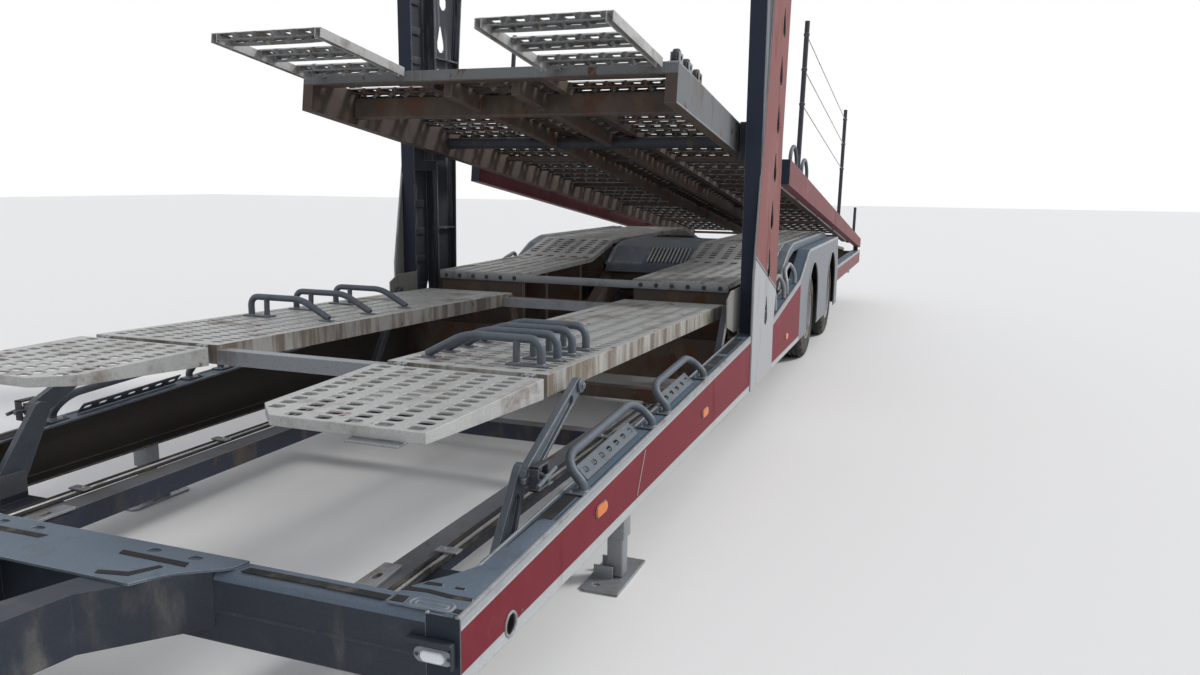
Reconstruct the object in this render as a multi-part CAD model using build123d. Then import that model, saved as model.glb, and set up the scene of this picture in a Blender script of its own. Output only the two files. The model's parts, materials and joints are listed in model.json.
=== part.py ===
from build123d import *
import math
import os

# Double-deck car transporter trailer with a tandem centre axle, in millimetres, +Z up.
# +X points to the drawbar, +Y to the vehicle's left. A distance named "at" is measured
# rearwards from the face of the front beam. The origin is on the ground under the middle.

# Driving dimensions of the whole trailer.
BODY_LENGTH = 11000
DRAWBAR_REACH = 1450
HALF_WIDTH = 1275
EYE_OUTER_RADIUS = 55
FRONT = (BODY_LENGTH + DRAWBAR_REACH + EYE_OUTER_RADIUS) / 2 - DRAWBAR_REACH - EYE_OUTER_RADIUS

# Sheet and fit values.
SHEET = 8
SEAT_GAP = 0.3
# Number of flat sides that stand for a round: wheels and shafts, pins, thin bars, ropes.
WHEEL_SIDES = 20
PIN_SIDES = 10
BAR_SIDES = 6
ROPE_SIDES = 4

# Places of the columns along the sills.
COLUMN_BASE_FRONT = 3630
COLUMN_REAR = 4410

# Side sills.
SILL_OUTER = HALF_WIDTH - SHEET
SILL_DEPTH = 102
SILL_INNER = SILL_OUTER - SILL_DEPTH
SILL_BOTTOM = 270
SILL_FRONT_TOP = 462
SILL_COLUMN_TOP = 615
SILL_END = 5640
SILL_END_TOP = 775
# Top edge of the sill: distance and height of each bend.
SILL_TOP_BENDS = ((0, SILL_FRONT_TOP), (COLUMN_BASE_FRONT, SILL_COLUMN_TOP), (COLUMN_REAR, SILL_COLUMN_TOP),
                  (SILL_END, SILL_END_TOP))
SILL_HOLE_AT = 285
SILL_HOLE_RADIUS = 36
GUSSET_LENGTH = 190
GUSSET_WIDTH = 125
GUSSET_STEPS = 5

# Front beam and drawbar.
BEAM_DEPTH = 75
BEAM_BOTTOM = 240
BEAM_TOP = 462
BEAM_NOSE_RADIUS = 45
NOSE_STEPS = 4
DRAWBAR_TOP = BEAM_TOP
DRAWBAR_BOTTOM = 290
DRAWBAR_ROOT_HALF = 480
DRAWBAR_TIP_HALF = 95
DRAWBAR_TIP = 230
EYE_BORE_RADIUS = 25
EYE_THICKNESS = 44
EYE_HEIGHT = 365
# Edge of the plate over the drawbar's root: distance and half width of each corner.
ROOT_PLATE_EDGE = ((BEAM_DEPTH, 545), (20, 530), (-15, 483), (-70, 411), (-165, 349))

# Low rails of the front frame and the cross member that they end at.
LOW_RAIL_Y = HALF_WIDTH - 520
LOW_RAIL_WIDTH = 105
LOW_RAIL_BOTTOM = 210
LOW_RAIL_TOP = 295
LOW_MEMBER_AT = 2300
LOW_MEMBER_LENGTH = 80

# Chassis rails behind the cross beam.
INNER_RAIL_Y = 355
INNER_RAIL_WIDTH = 90
RAIL_BOTTOM = 320
RAIL_TOP = 450
RAIL_STEP_FRONT = 5050
CROSS_BEAM_AT = 3760
CROSS_BEAM_DEPTH = 240
CROSS_BEAM_REAR = CROSS_BEAM_AT + CROSS_BEAM_DEPTH
CROSS_BEAM_TOP = RAIL_TOP + 100
REAR_FACE = BODY_LENGTH - 140
# Top edge and bottom edge of the inner rails behind the columns: distance and height of each bend.
INNER_RAIL_TOP_BENDS = ((4900, RAIL_TOP), (5500, 780), (8700, 780), (9300, 640), (REAR_FACE, 640))
INNER_RAIL_BOTTOM_BENDS = ((REAR_FACE, 510), (9200, 510), (8600, 620), (5600, 620), (RAIL_STEP_FRONT, RAIL_BOTTOM))
# Each cross member: distance, length, lowest and highest height, and whether it enters the sill's channel.
CROSS_MEMBERS = (
    (2900, 60, 330, 400, True),
    (4300, 80, 330, RAIL_TOP, True),
    (4970, 80, 330, RAIL_TOP, True),
    (5520, 60, 640, 770, False),
    (7050, 60, 640, 770, True),
    (8640, 60, 640, 770, False),
    (9700, 60, 520, 630, True),
    (REAR_FACE, 80, 510, 650, True),
)

# Columns that the upper deck climbs.
COLUMN_TOP = 3200
COLUMN_SHOULDER = 970
COLUMN_TOP_FRONT = 4050
# Rear edge of the column plate above the sill: distance and height of each bend.
COLUMN_REAR_BENDS = ((4350, 590), (COLUMN_REAR, 820), (4430, 1830), (4590, COLUMN_TOP))
GUIDE_FRONT = 3745
GUIDE_LENGTH = 320
GUIDE_WALL = 12
COLUMN_RIB_WIDTH = 50
COLUMN_HOLE_PITCH = 308
COLUMN_HOLE_FIRST = 720
COLUMN_HOLE_FIRST_AT = 4060
COLUMN_HOLE_LEAN = 0.14
COLUMN_HOLE_WIDTH = 105
COLUMN_HOLE_HEIGHT = 190
COLUMN_HOLE_COUNT = int((COLUMN_TOP - COLUMN_HOLE_FIRST - COLUMN_HOLE_HEIGHT) / COLUMN_HOLE_PITCH) + 1
TEARDROP_START = 20
TEARDROP_STEPS = 5

# Bracket and brace in front of each column.
BRACKET_OUTLINE = ((3400, 700), (3400, 860), (3500, 905), (GUIDE_FRONT, 905), (GUIDE_FRONT, 640), (3600, 640))
BRACE_FOOT = (3150, 320)
BRACE_HEAD = (3480, 800)
BRACE_HALF = 22
BRACE_THICKNESS = 36

# Wheels: twin tyres on each end of two axles.
AXLE_AT = (6400, 7760)
TYRE_RADIUS = 394
TYRE_WIDTH = 245
TYRE_SHOULDER = 34
BEAD_WIDTH = 60
BEAD_DEPTH = 14
TWIN_SPACING = 276
OUTER_TYRE_Y = HALF_WIDTH - 163
RIM_RADIUS = 222
RIM_WELL_RADIUS = 196
HUB_RADIUS = 140
HUB_CAP_RADIUS = 84
HUB_SETBACK = 20
SPINDLE_DEPTH = 260
SPINDLE_RADIUS = 55
AXLE_TUBE_RADIUS = 64
AXLE_HALF = 690
HANGER_WIDTH = 50
HANGER_TOP = 780
ARM_WIDTH = 80
SPRING_BEHIND_AXLE = 300
SPRING_RADIUS = 80
SPRING_HEIGHT = 180
SPRING_PLATE = 16
MUDGUARD_RADIUS = 560
MUDGUARD_SHEET = 6
MUDGUARD_STEPS = 6
MUDGUARD_STAY_Y = HALF_WIDTH - 395
# First and last angle of each mudguard, from the front, in degrees.
MUDGUARD_ANGLES = ((24, 105), (75, 156))

# Wheel arches.
ARCH_TOP = 985
ARCH_TOP_FRONT = 6100
ARCH_TOP_REAR = 8220
ARCH_END = 8330
ARCH_OPENING_WIDTH = 620
ARCH_OPENING_TOP = 860
REAR_SILL_TOP = 660
REAR_SILL_BOTTOM = 500
MUD_FLAP_AT = 8640
MUD_FLAP_INNER = 715
MUD_FLAP_BOTTOM = 210
MUD_FLAP_TOP = 740

# Front part of the lower deck, which tilts on a rear hinge.
TRACK_INNER_Y = 405
TRACK_OUTER_Y = HALF_WIDTH - 210
TRACK_HINGE_AT = 3700
TRACK_HINGE_HEIGHT = 750
TRACK_HINGE_RADIUS = 20
TRACK_SURFACE = 40
TRACK_TAIL = 30
TRACK_TILT = 1.8
TRACK_LENGTH = 2730
TRACK_SIDE_HEIGHT = 80
TRACK_PLATE = 6
TRACK_TUBE = 60
FLAP_LENGTH = 700
FLAP_GAP = 45
FLAP_REAR_DEPTH = 75
FLAP_FRONT_DEPTH = 33
FLAP_PIN_RADIUS = 8
FLAP_PIN_REACH = 18
FLAP_PIN_DROP = 13
FLAP_EYE_RADIUS = 13
FLAP_LUG = 14
HINGE_INSET = 60
FLAP_CORNER = 105
FLAP_TAPER = 45
FLAP_OVERLAP = 12
FLAP_TILT = {"left": -1.5, "right": 0.5}

# Knee props under the front of the lower deck.
PROP_Y = TRACK_OUTER_Y + 35
PROP_THICKNESS = 26
PROP_FOOT = (560, 335)
PROP_KNEE = (725, 600)
PROP_EYE = (1150, 812)
PROP_PIN_RADIUS = 16
PROP_FOOT_HALF = 62
PROP_KNEE_HALF = 38
PROP_EYE_HALF = 28
PROP_WEB = 12
LINK_STEPS = 6
KNEE_HUB_RADIUS = 32
KNEE_HUB_LENGTH = 12
KNEE_HANDLE = 150

# Fixed rear part of the lower deck: distance and height of each bend of its tracks.
REAR_TRACK_BENDS = ((3905, 905), (5250, 915), (5800, 1040), (8180, 1040), (8750, 900),
                    (BODY_LENGTH - 50, 690))
REAR_TRACK_DEPTH = 34
REAR_TRACK_SHEET = 6
TRACK_POST_LENGTH = 40
# Posts under the rear tracks: distance and lowest height, on top of each cross member.
TRACK_POSTS = ((CROSS_BEAM_AT + 150, CROSS_BEAM_TOP), (4310, RAIL_TOP), (4990, RAIL_TOP), (5530, 770),
               (7060, 770), (8650, 770), (9710, 630), (REAR_FACE + 20, 650))

# Upper deck, built flat and then tilted about its front top edge.
DECK_FRONT = 2500
DECK_FRONT_HEIGHT = 2120
DECK_TILT = 8.3
DECK_LENGTH = 8560
DECK_BEAM_OUTER = HALF_WIDTH - 185
DECK_BEAM_WIDTH = 62
DECK_BEAM_DEPTH = 200
DECK_BEAM_TAIL_DEPTH = 118
DECK_INNER_BEAM_Y = 360
DECK_INNER_HALF = 25
DECK_INNER_DEPTH = 60
DECK_MEMBER_LENGTH = 60
DECK_MEMBERS = (2450, 3900, 5350, 6800, DECK_LENGTH - DECK_MEMBER_LENGTH)
UPPER_TRACK_INNER = 395
SLAT_LENGTH = 110
SLAT_PITCH = 270
SLAT_DEPTH = 32
SLAT_MARGIN = 10
SIDE_RAIL_DROP = 70
SIDE_RAIL_FRONT = 2330
SIDE_RAIL_DEPTH = 180
SIDE_RAIL_TAIL_DEPTH = 115
POST_HEIGHT = 1150
POST_RADIUS = 19
POST_SIDES = 6
RAIL_WIDTH = 70
POST_PLACES = (2900, 5960)
LOW_POST_AT = DECK_LENGTH - 730
LOW_POST_HEIGHT = 330
# Height of each rope as a share of the post's height.
ROPE_SHARES = (0.45, 0.68, 0.91)
ROPE_RADIUS = 5
UPPER_FLAP_LENGTH = 700
UPPER_FLAP_SLATS = 3
FLAP_BAR = 34
FLAP_BAR_DEPTH = 45

# Lift carriage at the columns.
LIFT_AT = 4000
LIFT_HEIGHT = 1800
LIFT_SHAFT_RADIUS = 38
LIFT_PLAY = 3
LIFT_SHOE_HEIGHT = 380
LIFT_CHEEK_HEIGHT = 240
DECK_SIDE_PLAY = 8

# Support legs at the front.
LEG_AT = 1350
LEG_SIZE = 66
FOOT_LENGTH = 350
FOOT_WIDTH = 190
FOOT_THICKNESS = 14

# Lamps and rear bumper.
MARKER_PLACES = (1010, 2500, 5000)
MARKER_HEIGHT = 405
MARKER_LENGTH = 110
MARKER_HALF_HEIGHT = 22
FRONT_LAMP_Y = HALF_WIDTH - 205
FRONT_LAMP_HEIGHT = 375
FRONT_LAMP_DEPTH = 22
REAR_MEMBER_LOW = CROSS_MEMBERS[-1][2]
BUMPER_FRONT = REAR_FACE
BUMPER_REAR = REAR_FACE + 80
BUMPER_BOTTOM = 360
BUMPER_TOP = 480
BUMPER_HALF = HALF_WIDTH - 125
BUMPER_HANGER_Y = 420
REAR_LAMP_DEPTH = 50
REAR_LAMP_INNER = 800

# Pipes beside the low rails.
PIPE_COUNT = 3
PIPE_RADIUS = 8
PIPE_PITCH = 24
PIPE_HEIGHT = LOW_RAIL_TOP + PIPE_RADIUS

# Wheel chocks: bent round bars.
CHOCK_RADIUS = 17
TRACK_CHOCK_HEIGHT = 100
CHOCK_INSET = 90
CHOCK_SLOPE = 165
# Setback of the first chock from the track's front end, pitch and number.
LEFT_CHOCKS = (140, 150, 4)
RIGHT_CHOCKS = (850, 350, 3)
SILL_CHOCK_HEIGHT = 115
SILL_CHOCK_LEAN = 70
CHOCK_FOOT = 25
# Distance of each sill chock and its length.
SILL_CHOCKS = ((900, 780), (1900, 650))


def x_at(at):
    return FRONT - at


def block(at_0, at_1, y_0, y_1, z_0, z_1):
    box = Box(abs(at_1 - at_0), abs(y_1 - y_0), abs(z_1 - z_0))
    return Pos(x_at((at_0 + at_1) / 2), (y_0 + y_1) / 2, (z_0 + z_1) / 2) * box


def side_profile(points, y_0, y_1):
    # Extrudes an outline of (distance rearwards, height) points from y_0 to y_1.
    outline = Polyline([(x_at(at), 0, z) for at, z in points], close=True)
    face = Pos(0, min(y_0, y_1), 0) * make_face(outline)
    return extrude(face, amount=abs(y_1 - y_0), dir=(0, 1, 0))


def plan_profile(points, z_0, z_1):
    # Extrudes an outline of (distance rearwards, y) points from z_0 to z_1.
    outline = Polyline([(x_at(at), y, z_0) for at, y in points], close=True)
    return extrude(make_face(outline), amount=z_1 - z_0, dir=(0, 0, 1))


def round_bar(at, z, radius, y_0, y_1, sides=PIN_SIDES):
    # A bar along Y with its corners on the radius.
    outline = RegularPolygon(radius, sides, rotation=180 / sides)
    bar = Rot(90, 0, 0) * extrude(outline, amount=abs(y_1 - y_0) / 2, both=True)
    return Pos(x_at(at), (y_0 + y_1) / 2, z) * bar


def round_hole(at, z, radius, y_0, y_1, sides=PIN_SIDES):
    # A cutter along Y with its flat sides on the radius, so that a bar of that radius turns in its hole.
    return round_bar(at, z, radius / math.cos(math.pi / sides), y_0, y_1, sides)


def turned(profile, sides=WHEEL_SIDES):
    # Turns an outline of (radius, y) points about the Y axis in flat sides, one of them at the bottom.
    step = 2 * math.pi / sides

    def corner(radius, y, index):
        angle = (index + 0.5) * step
        reach = radius / math.cos(step / 2)
        return (reach * math.sin(angle), y, reach * math.cos(angle))

    faces = []
    for (radius_0, y_0), (radius_1, y_1) in zip(profile, profile[1:] + profile[:1]):
        if radius_0 == 0 and radius_1 == 0:
            continue
        for index in range(sides):
            corners = [corner(radius_0, y_0, index), corner(radius_1, y_1, index)]
            if radius_1 > 0:
                corners.append(corner(radius_1, y_1, index + 1))
            if radius_0 > 0:
                corners.append(corner(radius_0, y_0, index + 1))
            faces.append(Face(Wire.make_polygon(corners)))
    return Solid(Shell(faces))


def other_side(shape):
    return mirror(shape, about=Plane.XZ)


def on_side(shape, side):
    return shape if side == "left" else other_side(shape)


def joined(shapes):
    whole = shapes[0]
    for shape in shapes[1:]:
        whole = whole + shape
    return whole


def height_on(bends, at):
    # Height at a distance on a line of (distance, height) bends.
    for (at_0, z_0), (at_1, z_1) in zip(bends, bends[1:]):
        if at <= at_1:
            return z_0 + (at - at_0) / (at_1 - at_0) * (z_1 - z_0)
    return bends[-1][1]


def save(name, *shapes):
    solids = [solid for shape in shapes for solid in shape.solids()]
    export_step(Compound(children=solids), os.path.join("parts", name + ".step"))


# Side sills, arches and rear sills.

def make_side_sill():
    outline = [(0, SILL_BOTTOM)] + list(SILL_TOP_BENDS) + [(SILL_END, SILL_BOTTOM)]
    inside = [(SHEET, SILL_BOTTOM + SHEET)]
    inside += [(min(max(at, SHEET), SILL_END - SHEET), z - SHEET) for at, z in SILL_TOP_BENDS]
    inside += [(SILL_END - SHEET, SILL_BOTTOM + SHEET)]
    sill = side_profile(outline, SILL_INNER, SILL_OUTER)
    sill -= side_profile(inside, SILL_INNER - SHEET, SILL_OUTER - SHEET)
    hole = round_hole(SILL_HOLE_AT, SILL_BOTTOM + SILL_HOLE_RADIUS + SHEET, SILL_HOLE_RADIUS, SILL_INNER, HALF_WIDTH)
    return sill - hole


def make_arch_panel():
    front = [(SILL_END, SILL_BOTTOM), (SILL_END, SILL_END_TOP), (ARCH_TOP_FRONT, ARCH_TOP)]
    rear = [(ARCH_TOP_REAR, ARCH_TOP), (ARCH_END, REAR_SILL_TOP), (ARCH_END, SILL_BOTTOM)]
    panel = side_profile(front + rear, SILL_INNER, SILL_OUTER)
    inside = [(SILL_END + SHEET, SILL_BOTTOM - SHEET), (SILL_END + SHEET, SILL_END_TOP - SHEET)]
    inside += [(ARCH_TOP_FRONT, ARCH_TOP - SHEET), (ARCH_TOP_REAR - SHEET, ARCH_TOP - SHEET)]
    inside += [(ARCH_END - SHEET, REAR_SILL_TOP), (ARCH_END - SHEET, SILL_BOTTOM - SHEET)]
    panel -= side_profile(inside, SILL_INNER - SHEET, SILL_OUTER - SHEET)
    radius = ARCH_OPENING_WIDTH / 2
    for at in AXLE_AT:
        panel -= round_hole(at, ARCH_OPENING_TOP - radius, radius, SILL_INNER, HALF_WIDTH, WHEEL_SIDES)
        panel -= block(at - radius, at + radius, SILL_INNER, HALF_WIDTH, 0, ARCH_OPENING_TOP - radius)
    return panel


def make_rear_sill():
    outline = [(ARCH_END, REAR_SILL_BOTTOM), (ARCH_END, REAR_SILL_TOP)]
    outline += [(BODY_LENGTH, REAR_SILL_TOP), (BODY_LENGTH, REAR_SILL_BOTTOM)]
    inside = [(ARCH_END + SHEET, REAR_SILL_BOTTOM + SHEET), (ARCH_END + SHEET, REAR_SILL_TOP - SHEET)]
    inside += [(BODY_LENGTH - SHEET, REAR_SILL_TOP - SHEET), (BODY_LENGTH - SHEET, REAR_SILL_BOTTOM + SHEET)]
    sill = side_profile(outline, SILL_INNER, SILL_OUTER)
    return sill - side_profile(inside, SILL_INNER - SHEET, SILL_OUTER - SHEET)


# Front beam, drawbar and chassis rails.

def make_front_beam():
    outline = [(0, BEAM_BOTTOM), (0, BEAM_TOP - BEAM_NOSE_RADIUS)]
    for step in range(1, NOSE_STEPS):
        angle = math.radians(90 * step / NOSE_STEPS)
        outline.append((BEAM_NOSE_RADIUS * (1 - math.cos(angle)), BEAM_TOP - BEAM_NOSE_RADIUS * (1 - math.sin(angle))))
    outline += [(BEAM_NOSE_RADIUS, BEAM_TOP), (BEAM_DEPTH, BEAM_TOP), (BEAM_DEPTH, BEAM_BOTTOM)]
    beam = side_profile(outline, -SILL_INNER, SILL_INNER)
    beam -= block(SHEET, BEAM_DEPTH - SHEET, -SILL_INNER, SILL_INNER, BEAM_BOTTOM + SHEET,
                  BEAM_TOP - BEAM_NOSE_RADIUS)
    gusset = make_gusset()
    plan = list(ROOT_PLATE_EDGE) + [(at, -y) for at, y in reversed(ROOT_PLATE_EDGE)]
    plate = plan_profile(plan, BEAM_TOP, BEAM_TOP + SHEET)
    return joined([beam, gusset, other_side(gusset), plate])


def make_gusset():
    # Corner plate behind the beam with a hollow curved edge.
    outline = [(BEAM_DEPTH, SILL_INNER)]
    for step in range(GUSSET_STEPS + 1):
        angle = math.radians(90 * step / GUSSET_STEPS)
        at = BEAM_DEPTH + GUSSET_LENGTH * (1 - math.cos(angle))
        outline.append((at, SILL_INNER - GUSSET_WIDTH * (1 - math.sin(angle))))
    return plan_profile(outline, BEAM_TOP - SHEET, BEAM_TOP)


def make_drawbar():
    tip = -DRAWBAR_REACH + DRAWBAR_TIP
    plan = [(0, DRAWBAR_ROOT_HALF), (-260, 250), (tip, DRAWBAR_TIP_HALF)]
    plan += [(tip, -DRAWBAR_TIP_HALF), (-260, -250), (0, -DRAWBAR_ROOT_HALF)]
    bar = plan_profile(plan, DRAWBAR_BOTTOM, DRAWBAR_TOP)
    window = [(-130, 190), (-420, 95), (-420, -95), (-130, -190)]
    return bar - plan_profile(window, DRAWBAR_BOTTOM, DRAWBAR_TOP)


def make_towing_eye():
    centre = Pos(x_at(-DRAWBAR_REACH), 0, EYE_HEIGHT)
    ring = extrude(RegularPolygon(EYE_OUTER_RADIUS, WHEEL_SIDES), amount=EYE_THICKNESS / 2, both=True)
    shank_end = -DRAWBAR_REACH + DRAWBAR_TIP
    eye = centre * ring
    eye += block(-DRAWBAR_REACH + 30, shank_end, -30, 30, EYE_HEIGHT - 20, EYE_HEIGHT + 20)
    eye += block(shank_end - 30, shank_end, -80, 80, EYE_HEIGHT - 65, EYE_HEIGHT + 65)
    return eye - centre * Cylinder(EYE_BORE_RADIUS, EYE_THICKNESS)


def rail_y(centre, width):
    return centre - width / 2, centre + width / 2


def make_main_frame():
    inner_0, inner_1 = rail_y(INNER_RAIL_Y, INNER_RAIL_WIDTH)
    outline = [(CROSS_BEAM_REAR, RAIL_BOTTOM), (CROSS_BEAM_REAR, RAIL_TOP)]
    outline += list(INNER_RAIL_TOP_BENDS) + list(INNER_RAIL_BOTTOM_BENDS)
    rail = side_profile(outline, inner_0, inner_1)
    return [rail, other_side(rail), make_front_frame()]


def make_front_frame():
    # Two low rails that end at a low cross member between the sills.
    low_0, low_1 = rail_y(LOW_RAIL_Y, LOW_RAIL_WIDTH)
    side = block(BEAM_DEPTH, LOW_MEMBER_AT, low_0, low_1, LOW_RAIL_BOTTOM, LOW_RAIL_TOP)
    side += make_prop_bracket()
    member = block(LOW_MEMBER_AT, LOW_MEMBER_AT + LOW_MEMBER_LENGTH, -SILL_INNER, SILL_INNER, LOW_RAIL_BOTTOM,
                   LOW_RAIL_TOP)
    return joined([member, side, other_side(side)])


def make_cross_members():
    # Each member is cut into pieces between the rails.
    rails = joined(make_main_frame())
    shapes = []
    for at, length, low, high, enters in CROSS_MEMBERS:
        reach = SILL_OUTER - SHEET if enters else SILL_INNER
        member = block(at, at + length, -reach, reach, low, high)
        shapes.append(member - rails)
    return shapes


def make_cross_beam():
    # Deep beam between the columns with the hinge ears and shaft of the lower deck's front part.
    reach = SILL_OUTER - SHEET
    shapes = [block(CROSS_BEAM_AT, CROSS_BEAM_REAR, -reach, reach, SILL_BOTTOM + SHEET, CROSS_BEAM_TOP)]
    for y in (TRACK_INNER_Y - FLAP_LUG - SEAT_GAP, TRACK_OUTER_Y + SEAT_GAP):
        ear = make_hinge_ear(y, CROSS_BEAM_TOP)
        shapes += [ear, other_side(ear)]
    shaft_reach = TRACK_OUTER_Y + FLAP_LUG + SEAT_GAP
    shapes.append(round_bar(TRACK_HINGE_AT, TRACK_HINGE_HEIGHT, TRACK_HINGE_RADIUS, -shaft_reach, shaft_reach))
    return joined(shapes)


def make_hinge_ear(y, low):
    # Ear on the cross beam that holds the hinge shaft of the lower deck's front part.
    at, z = TRACK_HINGE_AT, TRACK_HINGE_HEIGHT
    outline = [(at - 32, z), (at - 20, z + 26), (at + 20, z + 26), (CROSS_BEAM_AT + 60, low)]
    outline += [(CROSS_BEAM_AT + 60, low - 90), (CROSS_BEAM_AT, low - 90)]
    return side_profile(outline, y, y + FLAP_LUG)


# Columns and lift carriage.

def make_column():
    plate_outline = [(COLUMN_BASE_FRONT, SILL_BOTTOM), (COLUMN_BASE_FRONT, COLUMN_SHOULDER)]
    plate_outline += [(COLUMN_TOP_FRONT, COLUMN_TOP)] + list(reversed(COLUMN_REAR_BENDS))
    plate_outline += [(COLUMN_REAR_BENDS[0][0], SILL_BOTTOM)]
    web_y = SILL_OUTER - GUIDE_WALL
    rear = GUIDE_FRONT + GUIDE_LENGTH
    plate = side_profile(plate_outline, SILL_OUTER, HALF_WIDTH)
    plate += block(GUIDE_FRONT, rear, web_y, SILL_OUTER, SILL_COLUMN_TOP, COLUMN_TOP)
    for index in range(COLUMN_HOLE_COUNT):
        z = COLUMN_HOLE_FIRST + index * COLUMN_HOLE_PITCH
        plate -= column_hole(COLUMN_HOLE_FIRST_AT + COLUMN_HOLE_LEAN * (z - COLUMN_HOLE_FIRST), z)
    front_wall = block(GUIDE_FRONT, GUIDE_FRONT + GUIDE_WALL, SILL_INNER, web_y, SILL_COLUMN_TOP, COLUMN_TOP)
    rear_wall = block(rear - GUIDE_WALL, rear, SILL_INNER, web_y, SILL_COLUMN_TOP, COLUMN_TOP)
    edge_line = [(COLUMN_REAR, 820)] + list(COLUMN_REAR_BENDS[2:])
    edge_outline = edge_line + [(at - GUIDE_WALL, z) for at, z in reversed(edge_line)]
    edge = side_profile(edge_outline, SILL_OUTER - COLUMN_RIB_WIDTH, SILL_OUTER)
    cap = block(GUIDE_FRONT, rear, SILL_INNER, SILL_OUTER, COLUMN_TOP, COLUMN_TOP + GUIDE_WALL)
    shapes = [plate, front_wall, rear_wall, edge, cap]
    for index in range(1, COLUMN_HOLE_COUNT, 2):
        # a rib halfway between two holes
        z = COLUMN_HOLE_FIRST + (index + 0.5) * COLUMN_HOLE_PITCH
        shapes.append(block(rear, column_rear(z) - GUIDE_WALL / 2, SILL_OUTER - COLUMN_RIB_WIDTH, SILL_OUTER,
                            z, z + GUIDE_WALL))
    return joined(shapes + make_column_bracket())


def column_rear(z):
    return height_on([(height, at) for at, height in COLUMN_REAR_BENDS], z)


def make_column_bracket():
    # Plate in front of the guide and the brace that runs down from it to the sill.
    plate = side_profile(BRACKET_OUTLINE, SILL_INNER - SHEET, SILL_INNER)
    y_1 = SILL_INNER - SHEET
    brace = link(BRACE_FOOT, BRACE_HEAD, BRACE_HALF, BRACE_HALF, y_1 - BRACE_THICKNESS, y_1)
    lip = block(GUIDE_FRONT - SHEET, GUIDE_FRONT + GUIDE_WALL, SILL_INNER - SHEET, SILL_INNER, SILL_COLUMN_TOP,
                BRACKET_OUTLINE[2][1])
    foot = block(BRACE_FOOT[0] - 40, BRACE_FOOT[0] + 40, y_1 - BRACE_THICKNESS, SILL_INNER, SILL_BOTTOM,
                 BRACE_FOOT[1])
    return [plate, brace, lip, foot]


def column_hole(at, z):
    # A teardrop: a round foot with a tip above it.
    radius = COLUMN_HOLE_WIDTH / 2
    foot = z - COLUMN_HOLE_HEIGHT / 2 + radius
    outline = [(at - 12, z + COLUMN_HOLE_HEIGHT / 2), (at + 12, z + COLUMN_HOLE_HEIGHT / 2)]
    for step in range(TEARDROP_STEPS + 1):
        angle = math.radians(TEARDROP_START - step * (180 + 2 * TEARDROP_START) / TEARDROP_STEPS)
        outline.append((at + radius * math.cos(angle), foot + radius * math.sin(angle)))
    return side_profile(outline, SILL_OUTER - 2 * GUIDE_WALL, HALF_WIDTH + SHEET)


def make_lift_carriage():
    # A sliding shoe and a cheek at each column, and the shaft between them that the deck tilts on.
    shoe_0 = GUIDE_FRONT + GUIDE_WALL + LIFT_PLAY
    shoe_1 = GUIDE_FRONT + GUIDE_LENGTH - GUIDE_WALL - LIFT_PLAY
    shoe_half = LIFT_SHOE_HEIGHT / 2
    shoe = block(shoe_0, shoe_1, SILL_INNER, SILL_OUTER - GUIDE_WALL - LIFT_PLAY, LIFT_HEIGHT - shoe_half,
                 LIFT_HEIGHT + shoe_half)
    cheek_y = DECK_BEAM_OUTER + DECK_SIDE_PLAY
    cheek_half = LIFT_CHEEK_HEIGHT / 2
    cheek = block(LIFT_AT - 110, LIFT_AT + 60, cheek_y, SILL_INNER, LIFT_HEIGHT - cheek_half, LIFT_HEIGHT + cheek_half)
    side = shoe + cheek
    shaft = round_bar(LIFT_AT, LIFT_HEIGHT, LIFT_SHAFT_RADIUS, -cheek_y, cheek_y, WHEEL_SIDES)
    return joined([side, shaft, other_side(side)])


# Upper deck. Shapes are drawn with u rearwards from the deck's front edge and w above its top plane.

def deck_block(u_0, u_1, y_0, y_1, w_0, w_1):
    box = Box(abs(u_1 - u_0), abs(y_1 - y_0), abs(w_1 - w_0))
    return Pos(-(u_0 + u_1) / 2, (y_0 + y_1) / 2, (w_0 + w_1) / 2) * box


def deck_profile(points, y_0, y_1):
    outline = Polyline([(-u, 0, w) for u, w in points], close=True)
    return extrude(Pos(0, min(y_0, y_1), 0) * make_face(outline), amount=abs(y_1 - y_0), dir=(0, 1, 0))


def deck_placed(shape):
    return Pos(x_at(DECK_FRONT), 0, DECK_FRONT_HEIGHT) * Rot(0, -DECK_TILT, 0) * shape


def make_deck_frame():
    inner = DECK_BEAM_OUTER - DECK_BEAM_WIDTH
    beam = deck_profile([(0, 0), (DECK_LENGTH, 0), (DECK_LENGTH, -DECK_BEAM_TAIL_DEPTH), (0, -DECK_BEAM_DEPTH)],
                        inner, DECK_BEAM_OUTER)
    bore = round_hole(LIFT_AT, LIFT_HEIGHT, LIFT_SHAFT_RADIUS + SEAT_GAP, 0, HALF_WIDTH, WHEEL_SIDES)
    beam = deck_placed(beam) - bore
    inner_beam = deck_placed(deck_block(0, DECK_LENGTH, DECK_INNER_BEAM_Y - DECK_INNER_HALF,
                                        DECK_INNER_BEAM_Y + DECK_INNER_HALF, -DECK_INNER_DEPTH, 0))
    return [beam, inner_beam, other_side(beam), other_side(inner_beam)]


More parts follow.
